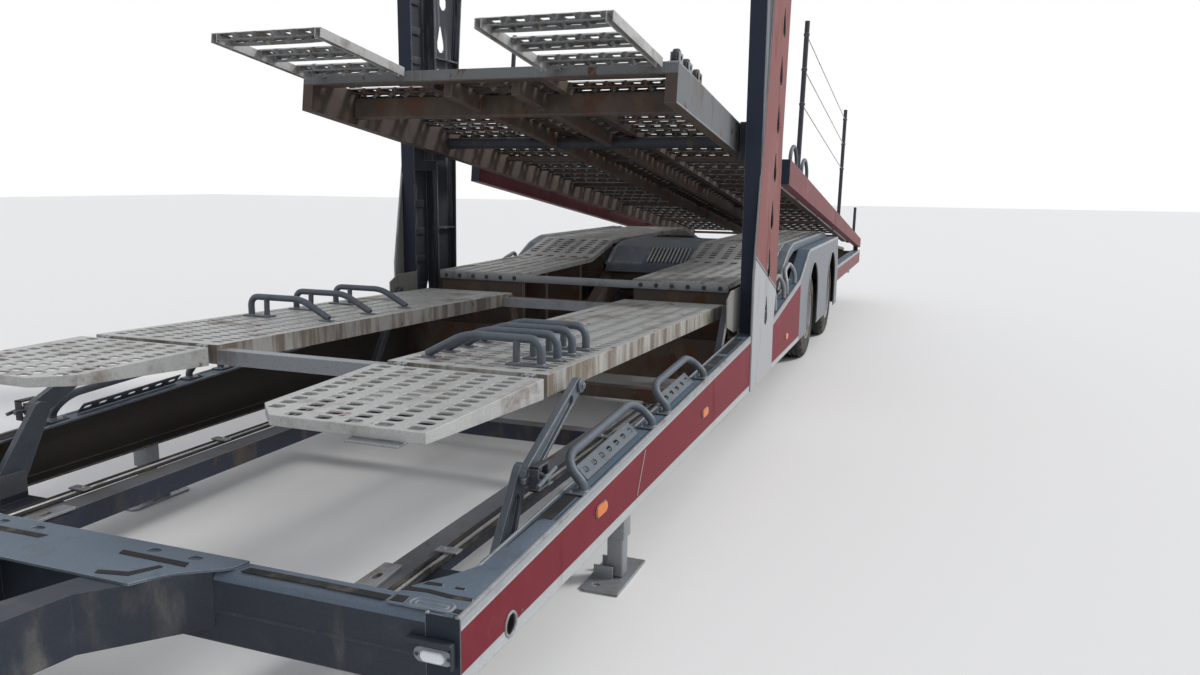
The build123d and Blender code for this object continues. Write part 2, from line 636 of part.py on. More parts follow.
def make_deck_members():
    # The front member carries the lugs of the flaps. The others lie under the slats.
    centre_half = DECK_INNER_BEAM_Y - DECK_INNER_HALF
    y_0, y_1 = DECK_INNER_BEAM_Y + DECK_INNER_HALF, DECK_BEAM_OUTER - DECK_BEAM_WIDTH
    shapes = [deck_placed(deck_block(0, DECK_MEMBER_LENGTH, -centre_half, centre_half, -DECK_INNER_DEPTH, 0))]
    front = deck_block(0, DECK_MEMBER_LENGTH, y_0, y_1, -DECK_INNER_DEPTH, 0)
    for lug in flap_lugs(UPPER_TRACK_INNER, y_1, 0, 0):
        front += lug
    shapes += [deck_placed(front), other_side(deck_placed(front))]
    for u in DECK_MEMBERS:
        for span_0, span_1 in ((-centre_half, centre_half), (y_0, y_1), (-y_1, -y_0)):
            member = deck_block(u, u + DECK_MEMBER_LENGTH, span_0, span_1, -DECK_INNER_DEPTH, -SLAT_DEPTH)
            shapes.append(deck_placed(member))
    return shapes


def slat(u, y_0, y_1):
    # A plank with folded-down long edges.
    wall = 5
    plank = deck_block(u, u + SLAT_LENGTH, y_0, y_1, -SLAT_DEPTH, 0)
    return plank - deck_block(u + wall, u + SLAT_LENGTH - wall, y_0, y_1, -SLAT_DEPTH, -wall)


def make_upper_track():
    y_0 = DECK_INNER_BEAM_Y + DECK_INNER_HALF
    y_1 = DECK_BEAM_OUTER - DECK_BEAM_WIDTH
    first = DECK_MEMBER_LENGTH + SLAT_MARGIN
    count = int((DECK_LENGTH - first) / SLAT_PITCH)
    return [deck_placed(slat(first + index * SLAT_PITCH, y_0, y_1)) for index in range(count)]


def make_deck_side_rail():
    y_0 = HALF_WIDTH - RAIL_WIDTH
    top = -SIDE_RAIL_DROP
    outline = [(SIDE_RAIL_FRONT, top), (DECK_LENGTH, top), (DECK_LENGTH, top - SIDE_RAIL_TAIL_DEPTH)]
    outline += [(SIDE_RAIL_FRONT, top - SIDE_RAIL_DEPTH)]
    shapes = [deck_profile(outline, y_0, HALF_WIDTH)]
    for u in (SIDE_RAIL_FRONT,) + DECK_MEMBERS[1:]:
        shapes.append(deck_block(u, u + DECK_MEMBER_LENGTH, DECK_BEAM_OUTER, y_0, top - DECK_MEMBER_LENGTH, top))
    return deck_placed(joined(shapes))


def make_deck_posts():
    # Two posts on the side rail hold three stretched ropes. A low post stands near the deck's end.
    y = HALF_WIDTH - RAIL_WIDTH / 2
    outline = RegularPolygon(POST_RADIUS, POST_SIDES, rotation=180 / POST_SIDES)
    shapes = []
    for u in POST_PLACES:
        shapes.append(Pos(-u, y, -SIDE_RAIL_DROP) * extrude(outline, amount=POST_HEIGHT))
    span = POST_PLACES[1] - POST_PLACES[0]
    for share in ROPE_SHARES:
        rope = Rot(0, 90, 0) * extrude(RegularPolygon(ROPE_RADIUS, ROPE_SIDES), amount=span)
        shapes.append(Pos(-POST_PLACES[1], y, POST_HEIGHT * share - SIDE_RAIL_DROP) * rope)
    low_post = Pos(-LOW_POST_AT, y, -SIDE_RAIL_DROP) * extrude(outline, amount=LOW_POST_HEIGHT)
    return [deck_placed(joined(shapes)), deck_placed(low_post)]


def hinge_places(y_0, y_1):
    return (y_0 + HINGE_INSET, y_1 - HINGE_INSET - FLAP_LUG)


def flap_lugs(y_0, y_1, edge, surface):
    # Two pins, each held by two lugs on a deck's front edge. u is minus x, as on the upper deck.
    shapes = []
    height = surface - FLAP_PIN_DROP
    half = FLAP_EYE_RADIUS
    nose = FLAP_PIN_REACH + half
    outline = [(0, half), (-FLAP_PIN_REACH, half), (-nose, half / 2), (-nose, -half / 2), (-FLAP_PIN_REACH, -half),
               (0, -half)]
    for y in hinge_places(y_0, y_1):
        for lug_y in (y - FLAP_LUG, y + FLAP_LUG):
            lug = deck_profile(outline, lug_y, lug_y + FLAP_LUG)
            shapes.append(Pos(edge, 0, height) * lug)
        pin = Rot(90, 0, 0) * extrude(RegularPolygon(FLAP_PIN_RADIUS, PIN_SIDES), amount=FLAP_LUG, both=True)
        shapes.append(Pos(edge + FLAP_PIN_REACH, y + FLAP_LUG / 2, height) * pin)
    return shapes


def flap_eyes(y_0, y_1):
    # The eyes of a flap, drawn about its pin's axis.
    half = FLAP_EYE_RADIUS - 1
    reach = FLAP_GAP + TRACK_PLATE
    outline = [(half, -half / 2), (half, half / 2), (half / 2, half), (-reach, half / 2), (-reach, -half / 2),
               (half / 2, -half)]
    radius = (FLAP_PIN_RADIUS + SEAT_GAP) / math.cos(math.pi / PIN_SIDES)
    shapes = []
    for y in hinge_places(y_0, y_1):
        eye = deck_profile(outline, y + SEAT_GAP, y + FLAP_LUG - SEAT_GAP)
        bore = Rot(90, 0, 0) * extrude(RegularPolygon(radius, PIN_SIDES), amount=FLAP_LUG, both=True)
        shapes.append(eye - Pos(0, y + FLAP_LUG / 2, 0) * bore)
    return shapes


def make_upper_flap():
    # Three slats between two side bars, drawn on the deck's plane and hinged in front of it.
    y_0 = UPPER_TRACK_INNER
    y_1 = DECK_BEAM_OUTER - DECK_BEAM_WIDTH
    rear = -FLAP_PIN_REACH - FLAP_GAP
    front = rear - UPPER_FLAP_LENGTH
    shapes = [deck_block(front, rear, y_0, y_0 + FLAP_BAR, -FLAP_BAR_DEPTH, 0)]
    shapes.append(deck_block(front, rear, y_1 - FLAP_BAR, y_1, -FLAP_BAR_DEPTH, 0))
    for index in range(UPPER_FLAP_SLATS):
        u = front + index * (UPPER_FLAP_LENGTH - SLAT_LENGTH) / (UPPER_FLAP_SLATS - 1)
        shapes.append(slat(u, y_0 + FLAP_BAR, y_1 - FLAP_BAR))
    shapes += [Pos(FLAP_PIN_REACH, 0, -FLAP_PIN_DROP) * eye for eye in flap_eyes(y_0, y_1)]
    return deck_placed(joined(shapes))


# Front part of the lower deck. u runs forwards from the rear hinge, w above the top plane.

def track_placed(shape):
    return Pos(x_at(TRACK_HINGE_AT), 0, TRACK_HINGE_HEIGHT) * Rot(0, -TRACK_TILT, 0) * shape


def track_block(u_0, u_1, y_0, y_1, w_0, w_1):
    return deck_block(-u_0, -u_1, y_0, y_1, w_0, w_1)


def make_lower_track():
    front = TRACK_LENGTH - TRACK_TAIL
    low = TRACK_SURFACE - TRACK_SIDE_HEIGHT
    tray = track_block(-TRACK_TAIL, front, TRACK_INNER_Y, TRACK_OUTER_Y, low, TRACK_SURFACE)
    tray -= track_block(-TRACK_TAIL, front - TRACK_PLATE, TRACK_INNER_Y + TRACK_PLATE, TRACK_OUTER_Y - TRACK_PLATE,
                        low, TRACK_SURFACE - TRACK_PLATE)
    tray -= round_hole(FRONT, 0, TRACK_HINGE_RADIUS + SEAT_GAP, 0, HALF_WIDTH)
    for lug in flap_lugs(TRACK_INNER_Y, TRACK_OUTER_Y, front, TRACK_SURFACE):
        tray += lug
    return track_placed(tray) + round_bar(*PROP_EYE, PROP_PIN_RADIUS, TRACK_OUTER_Y, PROP_Y - 1)


def make_deck_tubes():
    shapes = []
    low = TRACK_SURFACE - TRACK_SIDE_HEIGHT
    for u in (TRACK_TUBE, TRACK_LENGTH - TRACK_TAIL - TRACK_TUBE):
        shapes.append(track_block(u, u + TRACK_TUBE, -TRACK_INNER_Y, TRACK_INNER_Y, low, low + TRACK_TUBE))
    return [track_placed(shape) for shape in shapes]


def make_lower_flap(side):
    # A plate with folded edges that get lower to the front and a cut inner corner, drawn about its pin.
    inner, outer = TRACK_INNER_Y - FLAP_OVERLAP, TRACK_OUTER_Y + FLAP_OVERLAP
    rear, front = FLAP_GAP, FLAP_GAP + FLAP_LENGTH
    top = FLAP_PIN_DROP
    plan = [(rear, inner), (rear, outer), (front, outer - FLAP_TAPER), (front, inner + FLAP_CORNER)]
    plan += [(front - FLAP_CORNER, inner)]
    face = make_face(Polyline([(u, y, 0) for u, y in plan], close=True))
    side_outline = [(-rear, top), (-front, top), (-front, top - FLAP_FRONT_DEPTH), (-rear, top - FLAP_REAR_DEPTH)]
    hollow = [(-rear - TRACK_PLATE, top - TRACK_PLATE), (-front + TRACK_PLATE, top - TRACK_PLATE),
              (-front + TRACK_PLATE, top - FLAP_REAR_DEPTH), (-rear - TRACK_PLATE, top - FLAP_REAR_DEPTH)]
    plate = deck_profile(side_outline, inner, outer) & extrude(face, amount=FLAP_REAR_DEPTH, both=True)
    inside = extrude(offset(face, amount=-TRACK_PLATE, kind=Kind.INTERSECTION), amount=FLAP_REAR_DEPTH, both=True)
    plate -= deck_profile(hollow, inner, outer) & inside
    flap = joined([plate] + flap_eyes(TRACK_INNER_Y, TRACK_OUTER_Y))
    pin = Pos(TRACK_LENGTH - TRACK_TAIL + FLAP_PIN_REACH, 0, TRACK_SURFACE - FLAP_PIN_DROP)
    return track_placed(pin * Rot(0, TRACK_TILT - FLAP_TILT[side], 0) * flap)


# Knee props.

def link(foot, head, half_0, half_1, y_0, y_1):
    # A flat arm between two points with round ends, wider at one end.
    lean = math.degrees(math.atan2(head[1] - foot[1], head[0] - foot[0]))
    outline = []
    for (at, z), half, start in ((foot, half_0, 90), (head, half_1, -90)):
        for step in range(LINK_STEPS + 1):
            angle = math.radians(lean + start + 180 * step / LINK_STEPS)
            outline.append((at + half * math.cos(angle), z + half * math.sin(angle)))
    return side_profile(outline, y_0, y_1)


def between(point_0, point_1, share):
    return tuple(a + share * (b - a) for a, b in zip(point_0, point_1))


def make_prop_lower():
    # The arm has raised edges round a thin web, and carries the knee pin with its hub and handle.
    arm = link(PROP_FOOT, PROP_KNEE, PROP_FOOT_HALF, PROP_KNEE_HALF, PROP_Y - PROP_THICKNESS, PROP_Y)
    pocket = link(between(PROP_FOOT, PROP_KNEE, 0.34), between(PROP_FOOT, PROP_KNEE, 0.7), PROP_FOOT_HALF - 22,
                  PROP_KNEE_HALF - 12, PROP_Y - PROP_THICKNESS + PROP_WEB, PROP_Y)
    hub_y = PROP_Y + SEAT_GAP * 2 + PROP_THICKNESS
    pin = round_bar(*PROP_KNEE, PROP_PIN_RADIUS, PROP_Y, hub_y)
    hub = round_bar(*PROP_KNEE, KNEE_HUB_RADIUS, hub_y, hub_y + KNEE_HUB_LENGTH)
    handle = block(PROP_KNEE[0] - KNEE_HANDLE / 2, PROP_KNEE[0] + KNEE_HANDLE / 2, hub_y, hub_y + KNEE_HUB_LENGTH,
                   PROP_KNEE[1] - 8, PROP_KNEE[1] + 8)
    hole = round_hole(*PROP_FOOT, PROP_PIN_RADIUS + SEAT_GAP, PROP_Y - 2 * PROP_THICKNESS, PROP_Y + PROP_THICKNESS)
    return joined([arm - pocket, pin, hub, handle]) - hole


def make_prop_upper():
    y_0 = PROP_Y + SEAT_GAP
    y_1 = y_0 + PROP_THICKNESS
    arm = link(PROP_KNEE, PROP_EYE, PROP_KNEE_HALF, PROP_EYE_HALF, y_0, y_1)
    arm -= link(between(PROP_KNEE, PROP_EYE, 0.2), between(PROP_KNEE, PROP_EYE, 0.82), PROP_KNEE_HALF - 14,
                PROP_EYE_HALF - 10, y_0 + PROP_WEB, y_1)
    arm -= round_hole(*PROP_KNEE, PROP_PIN_RADIUS + SEAT_GAP, y_0, y_1)
    return arm - round_hole(*PROP_EYE, PROP_PIN_RADIUS + 1, y_0, y_1)


def make_prop_bracket():
    # Plate between the low rail and the sill with an ear that holds the foot pin.
    at, z = PROP_FOOT
    ear_1 = PROP_Y - PROP_THICKNESS - SEAT_GAP
    plate_top = z - PROP_FOOT_HALF - SHEET
    plate = block(at - 80, at + 80, LOW_RAIL_Y + LOW_RAIL_WIDTH / 2, SILL_INNER, plate_top - 2 * SHEET, plate_top)
    ear = block(at - 60, at + 60, ear_1 - 2 * SHEET, ear_1, plate_top, z + 45)
    return joined([plate, ear, round_bar(at, z, PROP_PIN_RADIUS, ear_1, PROP_Y)])


# Fixed rear tracks.

def make_rear_track():
    top = list(REAR_TRACK_BENDS)
    under = [(at, z - REAR_TRACK_DEPTH) for at, z in reversed(top)]
    inside = [(at, z - REAR_TRACK_SHEET) for at, z in top] + [(at, z - 2 * REAR_TRACK_DEPTH) for at, z in reversed(top)]
    strip = side_profile(top + under, TRACK_INNER_Y, TRACK_OUTER_Y)
    return strip - side_profile(inside, TRACK_INNER_Y + REAR_TRACK_SHEET, TRACK_OUTER_Y - REAR_TRACK_SHEET)


def make_track_posts():
    # Cross pieces that fill the strip's folded edges, each with a slanted top that meets its underside.
    shapes = []
    for at_0, low in TRACK_POSTS:
        at_1 = at_0 + TRACK_POST_LENGTH
        outline = [(at_0, low), (at_0, height_on(REAR_TRACK_BENDS, at_0) - REAR_TRACK_SHEET)]
        outline += [(at_1, height_on(REAR_TRACK_BENDS, at_1) - REAR_TRACK_SHEET), (at_1, low)]
        post = side_profile(outline, TRACK_INNER_Y + REAR_TRACK_SHEET, TRACK_OUTER_Y - REAR_TRACK_SHEET)
        shapes += [post, other_side(post)]
    return shapes


# Wheels and axles.

def make_tyre(y_centre):
    half = TYRE_WIDTH / 2
    points = [(RIM_RADIUS, -half + BEAD_DEPTH), (RIM_RADIUS + BEAD_WIDTH, -half), (TYRE_RADIUS - TYRE_SHOULDER, -half)]
    points += [(TYRE_RADIUS, -half + TYRE_SHOULDER), (TYRE_RADIUS, half - TYRE_SHOULDER)]
    points += [(TYRE_RADIUS - TYRE_SHOULDER, half), (RIM_RADIUS + BEAD_WIDTH, half), (RIM_RADIUS, half - BEAD_DEPTH)]
    return turned([(radius, y_centre + y) for radius, y in points])


def wheel_placed(shape, at):
    return Pos(x_at(at), 0, TYRE_RADIUS) * shape


def make_tyres(at):
    return [wheel_placed(make_tyre(y), at) for y in (OUTER_TYRE_Y, OUTER_TYRE_Y - TWIN_SPACING)]


def make_rims(at):
    half = TYRE_WIDTH / 2 - BEAD_DEPTH
    outer_0, outer_1 = OUTER_TYRE_Y - half, OUTER_TYRE_Y + half
    inner_0, inner_1 = outer_0 - TWIN_SPACING, outer_1 - TWIN_SPACING
    bore = SPINDLE_RADIUS + SEAT_GAP
    profile = [(RIM_RADIUS, inner_0), (RIM_RADIUS, outer_1), (RIM_WELL_RADIUS, outer_1), (RIM_WELL_RADIUS, outer_0 + 30)]
    profile += [(HUB_CAP_RADIUS, outer_0), (HUB_CAP_RADIUS, OUTER_TYRE_Y + 20), (0, OUTER_TYRE_Y + 20)]
    profile += [(0, inner_0 + SPINDLE_DEPTH), (bore, inner_0 + SPINDLE_DEPTH), (bore, inner_0 + HUB_SETBACK)]
    profile += [(HUB_RADIUS, inner_0 + HUB_SETBACK), (RIM_WELL_RADIUS, inner_1 - 20), (RIM_WELL_RADIUS, inner_0)]
    return wheel_placed(turned(profile), at)


def make_axle(at):
    tip = OUTER_TYRE_Y - TWIN_SPACING - TYRE_WIDTH / 2 + BEAD_DEPTH + SPINDLE_DEPTH - 5
    spindle = SPINDLE_RADIUS * math.cos(math.pi / WHEEL_SIDES)
    profile = [(0, -tip), (spindle, -tip), (spindle, -AXLE_HALF), (AXLE_TUBE_RADIUS, -AXLE_HALF)]
    profile += [(AXLE_TUBE_RADIUS, AXLE_HALF), (spindle, AXLE_HALF), (spindle, tip), (0, tip)]
    return wheel_placed(turned(profile), at)


def make_suspension(at):
    # Hanger, trailing arm and air spring on each side of one axle, fixed to the outer face of the inner rail.
    rail_face = INNER_RAIL_Y + INNER_RAIL_WIDTH / 2
    arm_0 = rail_face + HANGER_WIDTH
    arm_1 = arm_0 + ARM_WIDTH
    z = TYRE_RADIUS
    arm = [(at - 520, z + 80), (at - 520, z + 150), (at - 60, z + 130), (at + 380, z + 70), (at + 380, z + 40)]
    arm += [(at - 60, z + 50)]
    shapes = [side_profile(arm, arm_0, arm_1)]
    shapes.append(block(at - 70, at + 70, arm_0, arm_1, z + 20, z + 60))
    shapes.append(block(at - 560, at - 440, rail_face, arm_0, z + 60, HANGER_TOP))
    spring_at = at + SPRING_BEHIND_AXLE
    spring_foot = z + 70
    spring = extrude(RegularPolygon(SPRING_RADIUS, PIN_SIDES), amount=SPRING_HEIGHT)
    shapes.append(Pos(x_at(spring_at), (arm_0 + arm_1) / 2, spring_foot) * spring)
    spring_top = spring_foot + SPRING_HEIGHT
    shapes.append(block(spring_at - SPRING_RADIUS, spring_at + SPRING_RADIUS, rail_face, arm_1 + 30, spring_top,
                        spring_top + SPRING_PLATE))
    tube = [(0, -AXLE_HALF), (AXLE_TUBE_RADIUS, -AXLE_HALF), (AXLE_TUBE_RADIUS, AXLE_HALF), (0, AXLE_HALF)]
    half = joined(shapes) - wheel_placed(turned(tube), at)
    return [half, other_side(half)]


def make_mudguards():
    # A bent sheet over each tyre pair, hung from the underside of the rear track.
    shapes = []
    for at, (first, last) in zip(AXLE_AT, reversed(MUDGUARD_ANGLES)):
        outline = []
        for radius, sweep in ((MUDGUARD_RADIUS, (first, last)), (MUDGUARD_RADIUS + MUDGUARD_SHEET, (last, first))):
            for step in range(MUDGUARD_STEPS + 1):
                angle = math.radians(sweep[0] + (sweep[1] - sweep[0]) * step / MUDGUARD_STEPS)
                outline.append((at - radius * math.cos(angle), TYRE_RADIUS + radius * math.sin(angle)))
        sheet = side_profile(outline, MUD_FLAP_INNER, SILL_INNER)
        stay = block(at - 20, at + 20, MUDGUARD_STAY_Y - 40, MUDGUARD_STAY_Y + 40, TYRE_RADIUS + MUDGUARD_RADIUS,
                     REAR_TRACK_BENDS[2][1] - REAR_TRACK_SHEET)
        guard = sheet + stay
        shapes += [guard, other_side(guard)]
    return shapes


# Legs, lamps and rear equipment.

def make_support_leg():
    y = SILL_INNER + SILL_DEPTH / 2 - SHEET / 2
    foot = block(LEG_AT - FOOT_LENGTH / 2, LEG_AT + FOOT_LENGTH / 2, y - FOOT_WIDTH / 2, y + FOOT_WIDTH / 2,
                 0, FOOT_THICKNESS)
    foot = foot & block(0, BODY_LENGTH, 0, HALF_WIDTH, 0, FOOT_THICKNESS)
    half = LEG_SIZE / 2
    leg = block(LEG_AT - half, LEG_AT + half, y - half, y + half, FOOT_THICKNESS, SILL_BOTTOM)
    return foot + leg


def make_marker_lamps():
    # Side markers in the sills and position lamps on the front beam, longer than high, with cut corners.
    half, high = MARKER_LENGTH / 2, MARKER_HALF_HEIGHT
    shapes = []
    for at in MARKER_PLACES:
        outline = [(at - half, -high / 2), (at - half, high / 2), (at - half + high, high), (at + half - high, high),
                   (at + half, high / 2), (at + half, -high / 2), (at + half - high, -high), (at - half + high, -high)]
        lamp = side_profile([(a, MARKER_HEIGHT + z) for a, z in outline], SILL_OUTER, HALF_WIDTH)
        shapes += [lamp, other_side(lamp)]
    front = block(-FRONT_LAMP_DEPTH, 0, FRONT_LAMP_Y - 60, FRONT_LAMP_Y + 60, FRONT_LAMP_HEIGHT - 25,
                  FRONT_LAMP_HEIGHT + 25)
    return shapes + [front, other_side(front)]


def make_rear_bumper():
    bar = block(BUMPER_FRONT, BUMPER_REAR, -BUMPER_HALF, BUMPER_HALF, BUMPER_BOTTOM, BUMPER_TOP)
    hanger = block(BUMPER_FRONT, BUMPER_REAR, BUMPER_HANGER_Y - 40, BUMPER_HANGER_Y + 40, BUMPER_TOP, REAR_MEMBER_LOW)
    return joined([bar, hanger, other_side(hanger)])


def make_rear_lamps():
    low, high = BUMPER_BOTTOM + 15, BUMPER_TOP - 15
    lamp = block(BUMPER_REAR, BUMPER_REAR + REAR_LAMP_DEPTH, REAR_LAMP_INNER, BUMPER_HALF - 20, low, high)
    return [lamp, other_side(lamp)]


def make_mud_flaps():
    flap = block(MUD_FLAP_AT - SHEET, MUD_FLAP_AT, MUD_FLAP_INNER, SILL_INNER, MUD_FLAP_BOTTOM, MUD_FLAP_TOP)
    return [flap, other_side(flap)]


def make_pipes():
    shapes = []
    first = LOW_RAIL_Y + LOW_RAIL_WIDTH / 2 + PIPE_RADIUS
    for index in range(PIPE_COUNT):
        outline = RegularPolygon(PIPE_RADIUS, BAR_SIDES, rotation=180 / BAR_SIDES)
        pipe = Rot(0, 90, 0) * extrude(outline, amount=CROSS_BEAM_AT - BEAM_DEPTH)
        pipe = Pos(x_at(CROSS_BEAM_AT), first + index * PIPE_PITCH, PIPE_HEIGHT) * pipe
        shapes += [pipe, other_side(pipe)]
    return shapes


# Wheel chocks.

def bent_bar(points):
    path = Polyline(points)
    start = Plane(path @ 0, z_dir=path % 0)
    return sweep(start * RegularPolygon(CHOCK_RADIUS, BAR_SIDES), path=path, transition=Transition.RIGHT)


def make_track_chocks(setback, pitch, count):
    # Bent bars across a track, each with a long slope at its inner end and an upright leg at its outer end.
    shapes = []
    y_0, y_1 = TRACK_INNER_Y + CHOCK_INSET, TRACK_OUTER_Y - CHOCK_INSET
    height = TRACK_CHOCK_HEIGHT
    for index in range(count):
        u = TRACK_LENGTH - TRACK_TAIL - setback - index * pitch
        points = [(u, y_0, CHOCK_RADIUS * 0.87), (u, y_0 + CHOCK_SLOPE, height), (u, y_1 - CHOCK_FOOT, height)]
        points += [(u, y_1, height - CHOCK_FOOT), (u, y_1, 0)]
        shapes.append(track_placed(Pos(0, 0, TRACK_SURFACE) * bent_bar(points)))
    return shapes


def make_sill_chocks():
    # Hoops that stand on the sill's outer edge and lean inwards.
    shapes = []
    foot_y = SILL_OUTER - SHEET - CHOCK_RADIUS
    top_y = foot_y - SILL_CHOCK_LEAN
    rise = SILL_CHOCK_HEIGHT
    for at_0, length in SILL_CHOCKS:
        at_1 = at_0 + length
        z_0, z_1 = height_on(SILL_TOP_BENDS, at_0) + 1, height_on(SILL_TOP_BENDS, at_1) + 1
        points = [(x_at(at_0), foot_y, z_0), (x_at(at_0), foot_y, z_0 + CHOCK_FOOT)]
        points += [(x_at(at_0), top_y + 20, z_0 + rise * 0.7)]
        points += [(x_at(at_0 + 40), top_y, z_0 + rise), (x_at(at_1 - 70), top_y, z_1 + rise)]
        points += [(x_at(at_1), top_y + 30, z_1 + rise * 0.6), (x_at(at_1), foot_y, z_1 + CHOCK_FOOT)]
        points += [(x_at(at_1), foot_y, z_1)]
        bar = bent_bar(points)
        shapes += [bar, other_side(bar)]
    return shapes


def main():
    os.makedirs("parts", exist_ok=True)
    save("front_beam", make_front_beam())
    save("drawbar", make_drawbar())
    save("towing_eye", make_towing_eye())
    save("main_frame", *make_main_frame())
    save("cross_members", *make_cross_members())
    save("cross_beam", make_cross_beam())
    save("lift_carriage", make_lift_carriage())
    save("upper_deck_frame", *make_deck_frame())
    save("deck_cross_members", *make_deck_members())
    save("deck_side_rails", make_deck_side_rail(), other_side(make_deck_side_rail()))
    posts = make_deck_posts()
    save("deck_posts", *posts, *[other_side(post) for post in posts])
    save("front_deck_tubes", *make_deck_tubes())
    save("rear_bumper", make_rear_bumper())
    save("rear_lamps", *make_rear_lamps())
    save("marker_lamps", *make_marker_lamps())
    save("mud_flaps", *make_mud_flaps())
    save("mudguards", *make_mudguards())
    save("track_posts", *make_track_posts())
    save("hydraulic_pipes", *make_pipes())
    save("support_legs", make_support_leg(), other_side(make_support_leg()))
    save("sill_chocks", *make_sill_chocks())
    right_chocks = [other_side(chock) for chock in make_track_chocks(*RIGHT_CHOCKS)]
    save("track_chocks", *make_track_chocks(*LEFT_CHOCKS), *right_chocks)
    save("suspension", *[half for at in AXLE_AT for half in make_suspension(at)])
    for name, at in zip(("front", "rear"), AXLE_AT):
        save("axle_" + name, make_axle(at))
    for side in ("left", "right"):
        save("side_sill_" + side, on_side(make_side_sill(), side))
        save("arch_panel_" + side, on_side(make_arch_panel() + make_rear_sill(), side))
        save("column_" + side, on_side(make_column(), side))
        save("upper_track_" + side, *[on_side(shape, side) for shape in make_upper_track()])
        save("upper_flap_" + side, on_side(make_upper_flap(), side))
        save("lower_track_" + side, on_side(make_lower_track(), side))
        save("lower_flap_" + side, on_side(make_lower_flap(side), side))
        save("prop_lower_" + side, on_side(make_prop_lower(), side))
        save("prop_upper_" + side, on_side(make_prop_upper(), side))
        save("rear_track_" + side, on_side(make_rear_track(), side))
        for name, at in zip(("front", "rear"), AXLE_AT):
            save("tyres_" + name + "_" + side, *[on_side(shape, side) for shape in make_tyres(at)])
            save("rims_" + name + "_" + side, on_side(make_rims(at), side))


main()
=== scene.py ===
import bmesh
import bpy
import json
import math
from mathutils import Matrix, Vector


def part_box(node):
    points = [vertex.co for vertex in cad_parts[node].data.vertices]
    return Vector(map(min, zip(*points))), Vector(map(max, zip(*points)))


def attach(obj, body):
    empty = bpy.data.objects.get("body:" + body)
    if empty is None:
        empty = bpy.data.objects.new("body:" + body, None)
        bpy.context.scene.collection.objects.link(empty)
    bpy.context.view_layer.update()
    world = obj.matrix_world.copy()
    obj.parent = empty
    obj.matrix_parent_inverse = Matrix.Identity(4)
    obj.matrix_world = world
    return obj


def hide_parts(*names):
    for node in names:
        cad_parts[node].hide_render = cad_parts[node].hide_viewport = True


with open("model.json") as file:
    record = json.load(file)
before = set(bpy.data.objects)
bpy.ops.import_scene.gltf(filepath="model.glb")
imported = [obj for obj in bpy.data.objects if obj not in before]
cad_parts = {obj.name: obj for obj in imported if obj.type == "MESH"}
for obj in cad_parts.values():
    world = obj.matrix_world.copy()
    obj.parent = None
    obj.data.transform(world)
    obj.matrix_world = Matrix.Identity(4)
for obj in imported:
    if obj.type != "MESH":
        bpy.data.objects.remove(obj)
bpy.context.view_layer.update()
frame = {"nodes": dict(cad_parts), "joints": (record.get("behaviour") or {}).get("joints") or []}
sides = {"left": 1, "right": -1}

# Places that the pieces share, in metres. "at" is measured rearwards from the front beam's face.
frontFace = min(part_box("front_beam")[1].x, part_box("side_sill_left")[1].x)
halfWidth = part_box("column_left")[1].y


def xAt(at):
    return frontFace - at


def spot(at, y, z):
    return Vector((xAt(at), y, z))


def spots(path):
    return [spot(*point) for point in path]


def jointPlace(name):
    for joint in frame["joints"]:
        if joint["name"] == name:
            return Vector(joint["pos_m"])


def linkObject(name, data):
    made = bpy.data.objects.new(name, data)
    bpy.context.scene.collection.objects.link(made)
    return made


print("frame loaded, front beam at x", round(frontFace, 4))


# nodes
def feed(tree, socket, value):
    # gives a socket a link, a colour or a number
    if hasattr(value, "is_linked"):
        tree.links.new(value, socket)
    elif socket.type == "RGBA":
        socket.default_value = (*value, 1)
    else:
        socket.default_value = value


def addNode(tree, kind, inputs=None, output=0, **settings):
    node = tree.nodes.new("ShaderNode" + kind)
    for name, value in settings.items():
        setattr(node, name, value)
    for key, value in (inputs or {}).items():
        feed(tree, node.inputs[key], value)
    return node.outputs[output]


def addMath(tree, operation, first, second=None, clamp=False):
    inputs = {0: first} if second is None else {0: first, 1: second}
    return addNode(tree, "Math", inputs, operation=operation, use_clamp=clamp)


def mixColour(tree, factor, first, second):
    return addNode(tree, "Mix", {0: factor, 6: first, 7: second}, 2, data_type="RGBA")


def mapRange(tree, value, start, end, first=0, last=1, **settings):
    return addNode(tree, "MapRange", {"Value": value, "From Min": start, "From Max": end, "To Min": first,
                                      "To Max": last}, **settings)


def objectPlace(tree):
    return addNode(tree, "TexCoord", output="Object")


def axisOf(tree, axis, absolute=False):
    value = addNode(tree, "SeparateXYZ", {0: objectPlace(tree)}, axis)
    return addMath(tree, "ABSOLUTE", value) if absolute else value


def newMaterial(name):
    material = bpy.data.materials.new(name)
    material.use_nodes = True
    return material, material.node_tree, material.node_tree.nodes["Principled BSDF"].inputs


# camera, floor, light
photoView = {"place": (1.893, 2.342, 1.55), "yaw": 20.5, "pitch": 9.7, "roll": 0.58, "focalPixels": 917,
             "width": 1200, "sensor": 36, "farClip": 200}


